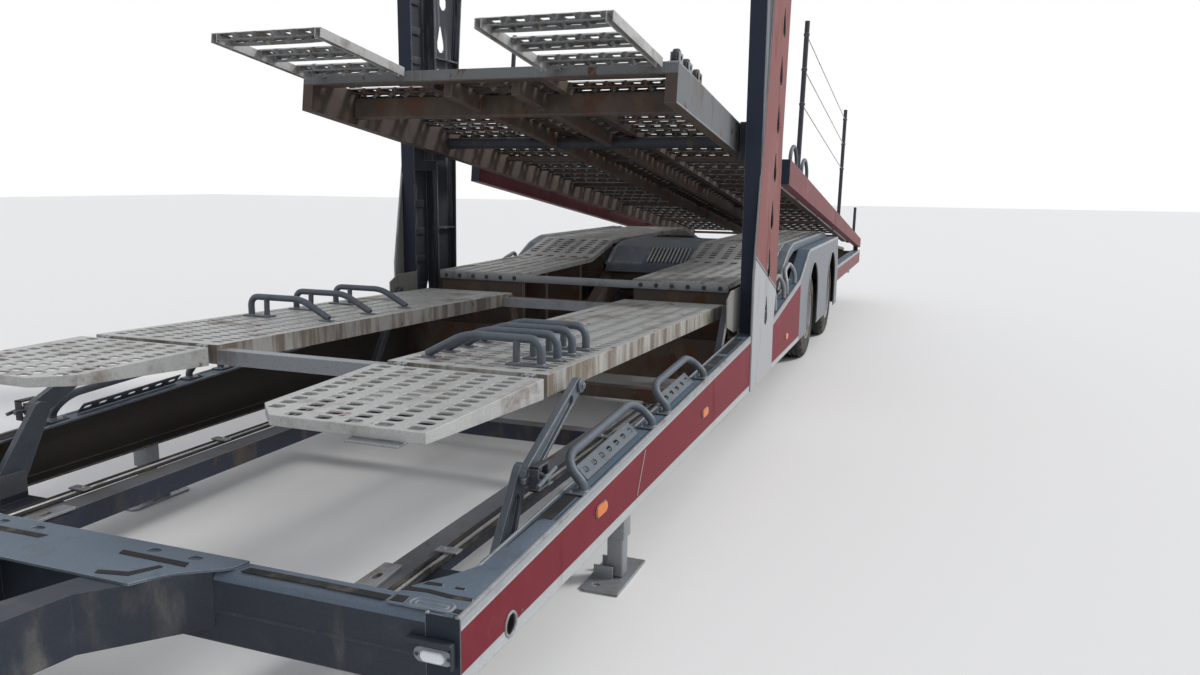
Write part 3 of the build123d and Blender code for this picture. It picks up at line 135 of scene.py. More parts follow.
def makeCamera():
    data = bpy.data.cameras.new("photoCamera")
    data.sensor_width = photoView["sensor"]
    data.lens = photoView["sensor"] * photoView["focalPixels"] / photoView["width"]
    data.clip_end = photoView["farClip"]
    camera = linkObject("photoCamera", data)
    yaw, pitch, roll = (math.radians(photoView[key]) for key in ("yaw", "pitch", "roll"))
    level = Vector((-math.cos(yaw), -math.sin(yaw), 0))
    up = Vector((0, 0, 1))
    right = level.cross(up)
    ahead = level * math.cos(pitch) - up * math.sin(pitch)
    top = level * math.sin(pitch) + up * math.cos(pitch)
    turnedRight = right * math.cos(roll) + top * math.sin(roll)
    turnedTop = top * math.cos(roll) - right * math.sin(roll)
    turn = Matrix((turnedRight, turnedTop, -ahead)).transposed().to_4x4()
    x, y, z = photoView["place"]
    camera.matrix_world = Matrix.Translation((frontFace + x, y, z)) @ turn
    bpy.context.scene.camera = camera


studio = {"floorColour": (0.85, 0.84, 0.82), "floorRoughness": 0.8, "floorSize": 120,
          "skyColour": (0.9, 0.93, 1.0), "skyStrength": 0.6, "sunStrength": 1.8, "sunAngle": 14,
          "sunTurn": (50, 8, 205)}


def makeStudio():
    bm = bmesh.new()
    bmesh.ops.create_grid(bm, x_segments=1, y_segments=1, size=studio["floorSize"] / 2)
    mesh = bpy.data.meshes.new("floor")
    bm.to_mesh(mesh)
    bm.free()
    material, tree, shader = newMaterial("paleFloor")
    feed(tree, shader["Base Color"], studio["floorColour"])
    feed(tree, shader["Roughness"], studio["floorRoughness"])
    mesh.materials.append(material)
    linkObject("floor", mesh)
    world = bpy.data.worlds.new("softStudio")
    bpy.context.scene.world = world
    world.use_nodes = True
    tree = world.node_tree
    background = tree.nodes["Background"]
    feed(tree, background.inputs["Color"], studio["skyColour"])
    feed(tree, background.inputs["Strength"], studio["skyStrength"])
    # the camera, gloss and glass see a white backdrop
    backdrop = addNode(tree, "Background", {"Color": (1, 1, 1)})
    path = tree.nodes.new("ShaderNodeLightPath").outputs
    either = addMath(tree, "MAXIMUM", path["Is Camera Ray"], path["Is Glossy Ray"])
    through = addMath(tree, "MAXIMUM", either, path["Is Transmission Ray"])
    mix = addNode(tree, "MixShader", {"Fac": through, 1: background.outputs[0], 2: backdrop})
    feed(tree, tree.nodes["World Output"].inputs["Surface"], mix)
    sun = bpy.data.lights.new("softSun", "SUN")
    sun.energy = studio["sunStrength"]
    sun.angle = math.radians(studio["sunAngle"])
    linkObject("softSun", sun).rotation_euler = [math.radians(angle) for angle in studio["sunTurn"]]
    bpy.context.scene.view_settings.view_transform = "Standard"


makeCamera()
makeStudio()
print("camera and studio ready")


# shared shader effects
def newGroup(name, inputs, outputs):
    group = bpy.data.node_groups.new(name, "ShaderNodeTree")
    for label, value in inputs.items():
        socket = group.interface.new_socket(label, in_out="INPUT", socket_type="NodeSocketFloat")
        socket.default_value = value
    for label, kind in outputs.items():
        group.interface.new_socket(label, in_out="OUTPUT", socket_type="NodeSocket" + kind)
    return group, group.nodes.new("NodeGroupInput").outputs, group.nodes.new("NodeGroupOutput").inputs


def makePatches():
    # soft patches: a mask that covers roughly Amount of the surface, drawn out along Z by Streak
    group, given, result = newGroup("patches", {"Scale": 5, "Streak": 1, "Amount": 0.4, "Softness": 0.2},
                                    {"Mask": "Float"})
    stretch = addNode(group, "CombineXYZ", {0: 1, 1: 1, 2: addMath(group, "DIVIDE", 1.0, given["Streak"])})
    scaled = addNode(group, "VectorMath", {0: objectPlace(group), 1: stretch}, operation="MULTIPLY")
    noise = addNode(group, "TexNoise",
                    {"Vector": scaled, "Scale": given["Scale"], "Detail": 5, "Roughness": 0.62}, "Fac")
    edge = addMath(group, "SUBTRACT", 0.72, addMath(group, "MULTIPLY", given["Amount"], 0.44))
    mask = mapRange(group, noise, edge, addMath(group, "ADD", edge, given["Softness"]),
                    interpolation_type="SMOOTHSTEP")
    feed(group, result["Mask"], mask)
    return group


def makeEdgeWear():
    # worn corners: where a rounded normal leaves the flat one, broken up by noise
    group, given, result = newGroup("edgeWear", {"Radius": 0.004, "Amount": 0.5, "Scale": 30},
                                    {"Mask": "Float", "Normal": "Vector"})
    rounded = addNode(group, "Bevel", {"Radius": given["Radius"]}, samples=4)
    flat = addNode(group, "NewGeometry", output="Normal")
    dot = addNode(group, "VectorMath", {0: rounded, 1: flat}, "Value", operation="DOT_PRODUCT")
    away = addMath(group, "MULTIPLY", addMath(group, "SUBTRACT", 1.0, dot), 6.0, True)
    noise = addNode(group, "TexNoise", {"Vector": objectPlace(group), "Scale": given["Scale"], "Detail": 4},
                    "Fac")
    spotted = addMath(group, "MULTIPLY", noise, addMath(group, "MULTIPLY", given["Amount"], 2.4))
    feed(group, result["Mask"], addMath(group, "MULTIPLY", away, spotted, True))
    feed(group, result["Normal"], rounded)
    return group


def makeGrain():
    # fine surface grain for bump and for small colour changes
    group, given, result = newGroup("grain", {"Scale": 200}, {"Value": "Float"})
    noise = addNode(group, "TexNoise", {"Vector": objectPlace(group), "Scale": given["Scale"], "Detail": 3},
                    "Fac")
    feed(group, result["Value"], noise)
    return group


patches = makePatches()
edgeWear = makeEdgeWear()
grain = makeGrain()


# finishes
def useGroup(tree, group, output, **inputs):
    return addNode(tree, "Group", inputs, output, node_tree=group)


def patchMask(tree, scale, streak, amount, softness):
    return useGroup(tree, patches, "Mask", Scale=scale, Streak=streak, Amount=amount, Softness=softness)


def lineHeight(tree, bends):
    # height of a bent line over x, from (at, height) bends
    x = axisOf(tree, "X")
    total = None
    for (at0, z0), (at1, z1) in zip(bends, bends[1:]):
        step = mapRange(tree, x, xAt(at0), xAt(at1), 0, z1 - z0)
        total = step if total is None else addMath(tree, "ADD", total, step)
    return addMath(tree, "ADD", total, bends[0][1])


def band(tree, value, low, high, soft=0.002):
    # 1 where value is between low and high
    rise = mapRange(tree, value, low - soft, low + soft)
    return addMath(tree, "MULTIPLY", rise, mapRange(tree, value, high - soft, high + soft, 1, 0))


def weathered(name, look, paint=None):
    # a worn surface: base and patches, dirt in streaks, rust spots, bare edges and fine grain
    material, tree, shader = newMaterial(name)
    colour = mixColour(tree, patchMask(tree, look["patchScale"], 1.0, 0.5, 0.3), look["base"], look["second"])
    if paint:
        colour = paint(tree, colour)
    dirt = patchMask(tree, look["dirtScale"], look["streak"], look["dirtAmount"], 0.22)
    colour = mixColour(tree, addMath(tree, "MULTIPLY", dirt, look["dirtStrength"]), colour, look["dirt"])
    rust = patchMask(tree, look["rustScale"], 1.5, look["rustAmount"], 0.06)
    colour = mixColour(tree, rust, colour, look["rust"])
    wear = tree.nodes.new("ShaderNodeGroup")
    wear.node_tree = edgeWear
    for label, value in (("Radius", look["edgeRadius"]), ("Amount", look["wearAmount"]), ("Scale", 25)):
        wear.inputs[label].default_value = value
    colour = mixColour(tree, wear.outputs["Mask"], colour, look["wear"])
    fine = useGroup(tree, grain, "Value", Scale=look["grainScale"])
    lightness = mapRange(tree, fine, 0.3, 0.7, 0.88, 1.1)
    tint = addNode(tree, "HueSaturation", {"Color": colour, "Value": lightness})
    feed(tree, shader["Base Color"], tint)
    feed(tree, shader["Roughness"], mapRange(tree, dirt, 0, 1, look["roughness"],
                                             min(look["roughness"] + 0.3, 0.95)))
    feed(tree, shader["Metallic"], look["metallic"])
    feed(tree, shader["Specular IOR Level"], look["specular"])
    bump = {"Strength": look["bump"], "Distance": 0.002, "Height": fine, "Normal": wear.outputs["Normal"]}
    feed(tree, shader["Normal"], addNode(tree, "Bump", bump))
    return material


brownDirt = (0.15, 0.11, 0.075)
dullRust = (0.1, 0.052, 0.032)
paleDust = (0.42, 0.38, 0.31)
steelLook = {"base": (0.27, 0.285, 0.3), "second": (0.2, 0.212, 0.228), "patchScale": 7, "dirt": brownDirt,
             "dirtScale": 6, "dirtStrength": 0.8, "streak": 3, "dirtAmount": 0.45,
             "rust": (0.15, 0.062, 0.028), "rustScale": 11, "rustAmount": 0.12, "edgeRadius": 0.004,
             "wear": (0.62, 0.62, 0.6), "wearAmount": 0.5, "grainScale": 160, "roughness": 0.5,
             "metallic": 0.35, "specular": 0.3, "bump": 0.2}


def steel(name, paint=None, **changes):
    return weathered(name, {**steelLook, **changes}, paint)


# the underside look: dark brown for the parts under the decks, painted shade over dirt and rust
shadedUnderLook = {"rust": dullRust, "base": (0.088, 0.067, 0.056), "second": (0.056, 0.045, 0.04), "rustScale": 5,
             "wearAmount": 0.25, "metallic": 0.1, "roughness": 0.7}
finishes = {
    "galvanised": steel("dullGalvanised"),
    "deckPlate": steel("galvanisedPlate", base=(0.46, 0.46, 0.45), second=(0.34, 0.34, 0.33), rustAmount=0.2,
                       dirtAmount=0.5, streak=1, dirtScale=4),
    "trackSide": steel("streakedPlate", base=(0.42, 0.41, 0.38), second=(0.3, 0.29, 0.27), dirtAmount=0.75,
                       streak=9, dirtScale=14),
    "shadedUnderDeck": steel("shadedDirtyUnderside", **shadedUnderLook, rustAmount=0.42, dirtAmount=0.6),
    "blueGrey": steel("blueGreyPaint", base=(0.12, 0.145, 0.175), second=(0.16, 0.185, 0.21), dirt=paleDust,
                      dirtAmount=0.5, dirtStrength=0.5, rustAmount=0.1, metallic=0.0, roughness=0.55),
    "bareSteel": steel("wornSteel", base=(0.5, 0.5, 0.49), second=(0.38, 0.38, 0.37), metallic=0.8,
                       roughness=0.35),
    # slat undersides and sides: painted shade over dirt and rust
    "slatUnderShade": steel("slatUndersideShade", rust=dullRust, base=(0.075, 0.06, 0.052), second=(0.048, 0.04, 0.036),
                       rustAmount=0.45, rustScale=6, dirtAmount=0.5, wearAmount=0.15, metallic=0.1,
                       roughness=0.75),
    # upper flap slats' undersides and sides: a darker painted-shade copy of the deck plate
    "shadedSlatSide": steel("shadedSlatSide", base=(0.2, 0.205, 0.21), second=(0.13, 0.13, 0.13), rustAmount=0.2,
                      dirtAmount=0.5),
    # hoops, chocks and props: a darker painted-shade copy of the steel, with a blue cast of painted sky
    # reflection
    "hoopSteel": steel("hoopSteel", base=(0.11, 0.128, 0.15), second=(0.078, 0.092, 0.11), dirtAmount=0.3,
                       rustAmount=0.06, wearAmount=0.4),
    "rubber": steel("dustyRubber", base=(0.028, 0.028, 0.028), second=(0.04, 0.039, 0.037),
                    dirt=(0.17, 0.145, 0.115), dirtAmount=0.55, dirtStrength=0.6, rust=(0.05, 0.045, 0.04),
                    rustAmount=0.1, wear=(0.09, 0.085, 0.08), metallic=0.0, roughness=0.75, streak=1),
    "rim": steel("rimPaint", base=(0.33, 0.33, 0.32), second=(0.25, 0.245, 0.235), metallic=0.2,
                 dirtAmount=0.6, rustAmount=0.2, streak=1),
    "darkBlue": steel("darkBluePlastic", base=(0.03, 0.045, 0.085), second=(0.045, 0.06, 0.1), dirt=paleDust,
                      dirtAmount=0.4, dirtStrength=0.4, rustAmount=0.0, wearAmount=0.2, metallic=0.0,
                      roughness=0.5),
    "antiSlip": steel("antiSlip", base=(0.02, 0.02, 0.021), second=(0.05, 0.05, 0.05), dirt=(0.2, 0.17, 0.13),
                      dirtAmount=0.4, rustAmount=0.0, wearAmount=0.1, wear=(0.1, 0.1, 0.1), metallic=0.0,
                      roughness=0.85, grainScale=420, bump=0.8),
}

# the inside, arch and front end colours here carry painted shade
stripes = {"sillTop": [(0.0, 0.462), (3.63, 0.615), (4.41, 0.615), (5.64, 0.775), (6.1, 0.985), (8.22, 0.985),
                       (8.33, 0.66), (11.0, 0.66)],
           "edgeBelowTop": 0.028, "whiteTop": 0.302, "borderWidth": 0.007, "red": (0.165, 0.012, 0.022),
           "fadedRed": (0.2, 0.026, 0.036), "white": (0.46, 0.47, 0.47), "edge": (0.34, 0.36, 0.37),
           "arch": (0.22, 0.235, 0.255), "rearRed": (0.2, 0.07, 0.072), "inside": (0.06, 0.052, 0.047),
           "shadedFrontEnd": (0.03, 0.037, 0.05), "paintDepth": 0.0105}


def outerFace(tree):
    return band(tree, axisOf(tree, "Y", True), halfWidth - stripes["paintDepth"], 9, 0.001)


def sillPaint(tree, base):
    # dark red field with a thin pale border over a white band
    z = axisOf(tree, "Z")
    below = addMath(tree, "SUBTRACT", z, lineHeight(tree, stripes["sillTop"]))
    edge, low, width = stripes["edgeBelowTop"], stripes["whiteTop"], stripes["borderWidth"]
    redField = addMath(tree, "MULTIPLY", band(tree, below, -2, -edge), band(tree, z, low, 2))
    innerField = addMath(tree, "MULTIPLY", band(tree, below, -2, -edge - width),
                         band(tree, z, low + width, 2))
    red = mixColour(tree, patchMask(tree, 3.5, 1, 0.45, 0.3), stripes["red"], stripes["fadedRed"])
    colour = mixColour(tree, band(tree, z, -1, low), stripes["edge"], stripes["white"])
    colour = mixColour(tree, redField, colour, stripes["white"])
    colour = mixColour(tree, innerField, colour, red)
    # only the outer face is painted: the top is bare with painted sky reflection, the inside painted shade
    # over dirt
    bare = mixColour(tree, band(tree, below, -0.012, 2), stripes["inside"], base)
    colour = mixColour(tree, outerFace(tree), bare, colour)
    # the front end face gets the same painted shade as the front beam's face
    return mixColour(tree, band(tree, axisOf(tree, "X"), frontFace - 0.003, 99, 0.0005), colour,
                     stripes["shadedFrontEnd"])


def archPaint(tree, base):
    # arches in pale paint darkened with painted shade, and a faded red field on the sill behind them
    below = addMath(tree, "SUBTRACT", axisOf(tree, "Z"), lineHeight(tree, stripes["sillTop"]))
    behind = band(tree, axisOf(tree, "X"), xAt(11.2), xAt(8.36))
    field = addMath(tree, "MULTIPLY", behind, band(tree, below, -0.15, -0.03))
    pale = mixColour(tree, band(tree, below, -0.016, 2), stripes["arch"], stripes["white"])
    colour = mixColour(tree, field, pale, stripes["rearRed"])
    # the top keeps the base with its painted sky reflection, the inside gets painted shade over dirt
    bare = mixColour(tree, band(tree, below, -0.02, 2), stripes["inside"], base)
    return mixColour(tree, outerFace(tree), bare, colour)


columnBands = {"slope": 0.35, "slopeAt": 4.1, "redLow": 0.95, "redHigh": 4.0, "red": (0.22, 0.07, 0.066),
               "faded": (0.27, 0.125, 0.12), "white": (0.4, 0.41, 0.42), "guide": (0.03, 0.037, 0.058),
               "inside": (0.055, 0.058, 0.07), "insidePale": (0.16, 0.17, 0.185), "bracketAt": 3.742,
               "guideAt": 3.76, "plateY": 1.156, "plate": (0.27, 0.265, 0.245), "brace": (0.09, 0.1, 0.115),
               "paintDepth": 0.004}


def columnPaint(tree, base):
    # faded red between a pale foot and a white head, parted along slanted lines
    x = axisOf(tree, "X")
    height = addMath(tree, "SUBTRACT", axisOf(tree, "Z"), addMath(tree, "MULTIPLY", x, columnBands["slope"]))
    shift = -columnBands["slope"] * xAt(columnBands["slopeAt"])
    red = mixColour(tree, patchMask(tree, 2.4, 2, 0.5, 0.3), columnBands["red"], columnBands["faded"])
    low = columnBands["redLow"] + shift
    field = band(tree, height, low, columnBands["redHigh"] + shift, 0.004)
    colour = mixColour(tree, field, columnBands["white"], red)
    colour = mixColour(tree, band(tree, height, low - 0.02, low - 0.008), colour, columnBands["guide"])
    # the inner sides aren't painted red: dark guides with pale streaks
    inside = mixColour(tree, patchMask(tree, 9, 14, 0.45, 0.1), columnBands["inside"],
                       columnBands["insidePale"])
    inside = mixColour(tree, band(tree, x, xAt(columnBands["guideAt"]), 99), inside, columnBands["guide"])
    # bracket plate and brace in front of the guide
    across = axisOf(tree, "Y", True)
    bracket = mixColour(tree, band(tree, across, columnBands["plateY"], 9, 0.0008), columnBands["brace"],
                        columnBands["plate"])
    inside = mixColour(tree, band(tree, x, xAt(columnBands["bracketAt"]), 99), inside, bracket)
    outward = band(tree, across, halfWidth - columnBands["paintDepth"], 9, 0.0008)
    return mixColour(tree, outward, inside, colour)


# the low frame's top colour is painted light, its side colour painted shade
deckColours = {"beamPale": (0.165, 0.173, 0.178), "litRailTop": (0.13, 0.135, 0.145),
               "railSide": (0.032, 0.038, 0.055), "railEnd": -0.05, "beamFace": 1.0885, "frontBarAt": 2.561,
               "frontBarLow": 2.066, "lowFrameAt": 2.5, "lowFrameTop": 0.2935}


def deckPaint(tree, base):
    # pale outer faces and front bar; the rest keeps the dark brown underside look, painted shade over dirt
    # and rust
    outer = band(tree, axisOf(tree, "Y", True), deckColours["beamFace"], 9, 0.001)
    front = addMath(tree, "MULTIPLY", band(tree, axisOf(tree, "X"), xAt(deckColours["frontBarAt"]), 99),
                    band(tree, axisOf(tree, "Z"), deckColours["frontBarLow"], 99))
    return mixColour(tree, addMath(tree, "MAXIMUM", outer, front), base, deckColours["beamPale"])


def railPaint(tree, base):
    # the side rails' front ends are dark
    return mixColour(tree, band(tree, axisOf(tree, "X"), deckColours["railEnd"], 99), base,
                     deckColours["railSide"])


def framePaint(tree, base):
    # the low front frame has painted light on its pale tops and painted shade on its dark blue sides
    low = mixColour(tree, band(tree, axisOf(tree, "Z"), deckColours["lowFrameTop"], 99, 0.001),
                    deckColours["railSide"], deckColours["litRailTop"])
    return mixColour(tree, band(tree, axisOf(tree, "X"), xAt(deckColours["lowFrameAt"]), 99), base, low)


paintLook = {"specular": 0.12, "dirt": (0.085, 0.06, 0.05), "dirtStrength": 0.3, "streak": 5, "dirtScale": 7,
             "rustAmount": 0.06, "metallic": 0.0, "roughness": 0.5, "bump": 0.08, "wearAmount": 0.6}
# the bare tops' blue is painted sky reflection
skyReflectionBase = {"base": (0.115, 0.155, 0.2), "second": (0.09, 0.12, 0.155)}
# the frames take the underside look with its painted shade
shadedFrameLook = {**shadedUnderLook, "rustAmount": 0.22, "dirtAmount": 0.5, "dirtStrength": 0.6}
finishes.update({
    "sillPaint": steel("stripedPaint", sillPaint, **paintLook, **skyReflectionBase, dirtAmount=0.34),
    "archPaint": steel("archPaint", archPaint, **paintLook, **skyReflectionBase, dirtAmount=0.34),
    "columnPaint": steel("columnPaint", columnPaint, **paintLook, **skyReflectionBase, dirtAmount=0.45),
    "deckBeam": steel("deckBeam", deckPaint, **shadedFrameLook),
    "frameSteel": steel("frameSteel", framePaint, **shadedFrameLook),
    "railPaint": steel("railPaint", railPaint, **paintLook, base=(0.17, 0.045, 0.05),
                       second=(0.2, 0.1, 0.105), dirtAmount=0.34),
    # the front beam's top: a painted lit copy of its paint, blue with painted sky reflection
    "litBeamTop": steel("litBeamTop", base=(0.115, 0.15, 0.19), second=(0.085, 0.112, 0.145), rustAmount=0.04,
                     dirtAmount=0.4, dirtStrength=0.45, metallic=0.0, roughness=0.55),
    # the front beam's faces: a dark painted-shade copy of the same paint
    "beamFace": steel("beamFace", base=(0.03, 0.037, 0.05), second=(0.045, 0.052, 0.068), dirt=paleDust,
                      dirtAmount=0.35, dirtStrength=0.25, rustAmount=0.05, wear=(0.2, 0.22, 0.25),
                      wearAmount=0.3, metallic=0.0, roughness=0.5),
    "darkSteel": steel("darkSteel", base=(0.045, 0.048, 0.058), second=(0.075, 0.078, 0.085), dirtAmount=0.4,
                       rustAmount=0.1, wearAmount=0.4, metallic=0.1, roughness=0.6),
    "lampBody": steel("lampBody", base=(0.28, 0.3, 0.32), second=(0.22, 0.23, 0.25), rustAmount=0.0,
                      dirtAmount=0.3, metallic=0.0, roughness=0.4, patchScale=40, dirtScale=40,
                      edgeRadius=0.002),
})


def lensMaterial(name, colour):
    # ribbed coloured plastic
    material, tree, shader = newMaterial(name)
    dust = addMath(tree, "MULTIPLY", patchMask(tree, 30, 2, 0.4, 0.3), 0.35)
    feed(tree, shader["Base Color"], mixColour(tree, dust, colour, (0.3, 0.25, 0.2)))
    feed(tree, shader["Roughness"], 0.25)
    feed(tree, shader["Coat Weight"], 0.15)
    feed(tree, shader["Specular IOR Level"], 0.25)
    ribs = addNode(tree, "TexWave", {"Scale": 90, "Vector": objectPlace(tree)}, "Fac")
    feed(tree, shader["Normal"], addNode(tree, "Bump", {"Strength": 0.3, "Distance": 0.001, "Height": ribs}))
    return material


finishes["amber"] = lensMaterial("amberLens", (0.72, 0.17, 0.008))
finishes["redLens"] = lensMaterial("redLens", (0.5, 0.02, 0.02))
finishes["lampGlow"] = lensMaterial("clearLens", (0.85, 0.88, 0.92))
print("finishes ready")


# materials of the CAD nodes that stay
def bothSides(*kinds):
    return [kind + "_" + side for kind in kinds for side in sides]


nodeFinishes = {
    # the front beam's face and the drawbar take the dark painted-shade finish
    "beamFace": ["front_beam", "drawbar"],
    "bareSteel": ["towing_eye", "hydraulic_pipes"],
    "shadedUnderDeck": ["cross_members", "cross_beam", "track_posts", "axle_front", "axle_rear", "suspension"],
    "deckBeam": ["upper_deck_frame", "deck_cross_members"],
    "frameSteel": ["main_frame"],
    "darkSteel": ["deck_posts", "lift_carriage"],
    "galvanised": ["front_deck_tubes", "rear_bumper", "support_legs"],
    "hoopSteel": ["track_chocks", "sill_chocks"] + bothSides("prop_lower", "prop_upper"),
    "deckPlate": bothSides("upper_track", "upper_flap", "lower_track", "lower_flap", "rear_track"),
    "sillPaint": bothSides("side_sill"),
    "archPaint": bothSides("arch_panel"),
    "columnPaint": bothSides("column"),
    "railPaint": ["deck_side_rails"],
    "darkBlue": ["mud_flaps"],
    "blueGrey": ["mudguards"],
    "rubber": bothSides("tyres_front", "tyres_rear"),
    "rim": bothSides("rims_front", "rims_rear"),
    "amber": ["marker_lamps"],
    "redLens": ["rear_lamps"],
}


def dressNodes():
    for finish, names in nodeFinishes.items():
        for name in names:
            for slot in frame["nodes"][name].material_slots:
                slot.material = finishes[finish]


dressNodes()
print("carried nodes dressed")


# building blocks for the pieces, which are drawn on the left side
def finishPiece(name, bm, body, finish, replaced=(), smooth=None, place=None, side="left"):
    # stores a bmesh as a piece that rides on a body, mirrored for the right side
    if side == "right":
        bmesh.ops.scale(bm, vec=(1, -1, 1), verts=bm.verts)
    if place is not None:
        bmesh.ops.transform(bm, matrix=place, verts=bm.verts)
    bmesh.ops.recalc_face_normals(bm, faces=bm.faces)
    mesh = bpy.data.meshes.new(name)
    bm.to_mesh(mesh)
    bm.free()
    piece = linkObject(name, mesh)
    for one in finish if isinstance(finish, list) else [finish]:
        mesh.materials.append(finishes[one])
    if smooth is not None:
        mesh.set_sharp_from_angle(angle=math.radians(smooth))
        for polygon in mesh.polygons:
            polygon.use_smooth = True
    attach(piece, body)
    if replaced:
        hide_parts(*replaced)


def joinInto(target, bm, material=None, place=None):
    # adds a finished bmesh to another one
    if material is not None:
        for face in bm.faces:
            face.material_index = material
    if place is not None:
        bmesh.ops.transform(bm, matrix=place, verts=bm.verts)
    mesh = bpy.data.meshes.new("part")
    bm.to_mesh(mesh)
    bm.free()
    target.from_mesh(mesh)
    bpy.data.meshes.remove(mesh)


def newVerts(made):
    return [item for item in made["geom"] if isinstance(item, bmesh.types.BMVert)]


def boundary(bm):
    return [edge for edge in bm.edges if edge.is_boundary]


def mirrorOver(bm):
    # adds the right side's copy of what is drawn on the left
    copied = bmesh.ops.duplicate(bm, geom=bm.verts[:] + bm.edges[:] + bm.faces[:])
    bmesh.ops.scale(bm, vec=(1, -1, 1), verts=newVerts(copied))


def roundOff(bm, edges, width, segments=2, kind="EDGES"):
    bmesh.ops.bevel(bm, geom=edges, offset=width, affect=kind, segments=segments, profile=0.5, material=-1)


def cubeBetween(bm, start, end):
    low, high = (Vector([pick(pair) for pair in zip(start, end)]) for pick in (min, max))
    made = bmesh.ops.create_cube(bm, size=1)["verts"]
    bmesh.ops.scale(bm, vec=high - low, verts=made)
    bmesh.ops.translate(bm, vec=(low + high) / 2, verts=made)


def addBar(target, start, end, bevel=0.0, segments=2, place=None, material=0):
    # a block between two opposite corners, with its edges rounded
    bm = bmesh.new()
    cubeBetween(bm, start, end)
    if bevel:
        roundOff(bm, bm.edges[:], bevel, segments)
    joinInto(target, bm, material, place)


def addRod(target, start, end, radius, segments=12, endRadius=None, bevel=0.0, material=0):
    # a round rod between two points
    bm = bmesh.new()
    start, end = Vector(start), Vector(end)
    bmesh.ops.create_cone(bm, cap_ends=True, segments=segments, radius1=radius,
                          radius2=radius if endRadius is None else endRadius, depth=(end - start).length)
    if bevel:
        roundOff(bm, list({edge for face in bm.faces if len(face.verts) > 4 for edge in face.edges}), bevel)
    turn = (end - start).to_track_quat("Z", "Y").to_matrix().to_4x4()
    joinInto(target, bm, material, Matrix.Translation((start + end) / 2) @ turn)


def addStub(target, start, axis, length, radius, segments=12, **more):
    # a rod along an axis
    start = Vector(start)
    end = start.copy()
    end["XYZ".index(axis)] += length
    addRod(target, start, end, radius, segments, **more)


def punchHoles(bm, faces, size, corner, segments=2):
    # makes an opening of a given size, with cut or round corners, in the middle of each face
    bmesh.ops.inset_individual(bm, faces=faces, thickness=0.004, use_even_offset=True)
    holes = [face for face in faces if face.is_valid]
    for face in holes:
        centre = face.calc_center_median()
        factors = []
        for axis in range(3):
            spread = max(vert.co[axis] for vert in face.verts) - min(vert.co[axis] for vert in face.verts)
            factors.append(size[axis] / spread if spread > 1e-5 else 1)
        bmesh.ops.scale(bm, vec=factors, verts=face.verts, space=Matrix.Translation(-centre))
    corners = [vert for face in holes for vert in face.verts]
    bmesh.ops.delete(bm, geom=holes, context="FACES_ONLY")
    roundOff(bm, corners, corner, segments, "VERTICES")


def gridSheet(bm, lengthways, crossways, columns, rows):
    # a flat grid over x and y ranges
    made = bmesh.ops.create_grid(bm, x_segments=columns, y_segments=rows, size=0.5)["verts"]
    (x0, x1), (y0, y1) = lengthways, crossways
    bmesh.ops.scale(bm, vec=(x1 - x0, y1 - y0, 1), verts=made)
    bmesh.ops.translate(bm, vec=((x0 + x1) / 2, (y0 + y1) / 2, 0), verts=made)


def marginSheet(lengthways, crossways, columns, rows, ends, edges):
    # a grid of cells with plain margins out to the sheet's ends and edges
    bm = bmesh.new()
    gridSheet(bm, lengthways, crossways, columns, rows)
    cells = bm.faces[:]
    limits = [(axis, inner, outer) for axis, inners, outers in ((0, lengthways, ends), (1, crossways, edges))
              for inner, outer in zip(inners, outers)]
    for vert in newVerts(bmesh.ops.extrude_edge_only(bm, edges=boundary(bm))):
        place = vert.co.copy()
        for axis, inner, outer in limits:
            if abs(place[axis] - inner) < 1e-4:
                vert.co[axis] = outer
    return bm, cells


def addSkirt(bm, edges, depth):
    # folds a side down from the given edges
    bmesh.ops.translate(bm, vec=(0, 0, -depth), verts=newVerts(bmesh.ops.extrude_edge_only(bm, edges=edges)))


def thicken(bm, thickness):
    bm.normal_update()
    bmesh.ops.recalc_face_normals(bm, faces=bm.faces)
    bmesh.ops.solidify(bm, geom=bm.faces[:], thickness=thickness)


def addTube(bm, points, radius, bend=0.0, material=0, closed=False, detail=2):
    # a round bar along straight runs with rounded corners
    curve = bpy.data.curves.new("tube", "CURVE")
    curve.dimensions = "3D"
    curve.bevel_depth = radius
    curve.bevel_resolution = detail
    curve.resolution_u = 5
    curve.use_fill_caps = not closed
    points = [Vector(point) for point in points]
    knots = [] if closed else [(points[0], points[0], points[0])]
    for index in range(len(points)) if closed else range(1, len(points) - 1):
        before, corner, after = points[index - 1], points[index], points[(index + 1) % len(points)]
        reach = min(bend, (corner - before).length * 0.49, (after - corner).length * 0.49)
        enter = corner + (before - corner).normalized() * reach
        leave = corner + (after - corner).normalized() * reach
        knots += [(enter, enter, enter.lerp(corner, 0.55)), (leave, leave.lerp(corner, 0.55), leave)]
    if not closed:
        knots.append((points[-1], points[-1], points[-1]))
    spline = curve.splines.new("BEZIER")
    spline.bezier_points.add(len(knots) - 1)
    spline.use_cyclic_u = closed
    for knot, (place, left, right) in zip(spline.bezier_points, knots):
        knot.handle_left_type = knot.handle_right_type = "FREE"
        knot.co, knot.handle_left, knot.handle_right = place, left, right
    holder = bpy.data.objects.new("tube", curve)
    mesh = bpy.data.meshes.new_from_object(holder)
    firstVert, firstFace = len(bm.verts), len(bm.faces)
    bm.from_mesh(mesh)
    bpy.data.objects.remove(holder)
    bpy.data.meshes.remove(mesh)
    bpy.data.curves.remove(curve)
    bm.verts.ensure_lookup_table()
    bm.faces.ensure_lookup_table()
    for face in bm.faces[firstFace:]:
        face.material_index = material
    bmesh.ops.remove_doubles(bm, verts=bm.verts[firstVert:], dist=0.00002)


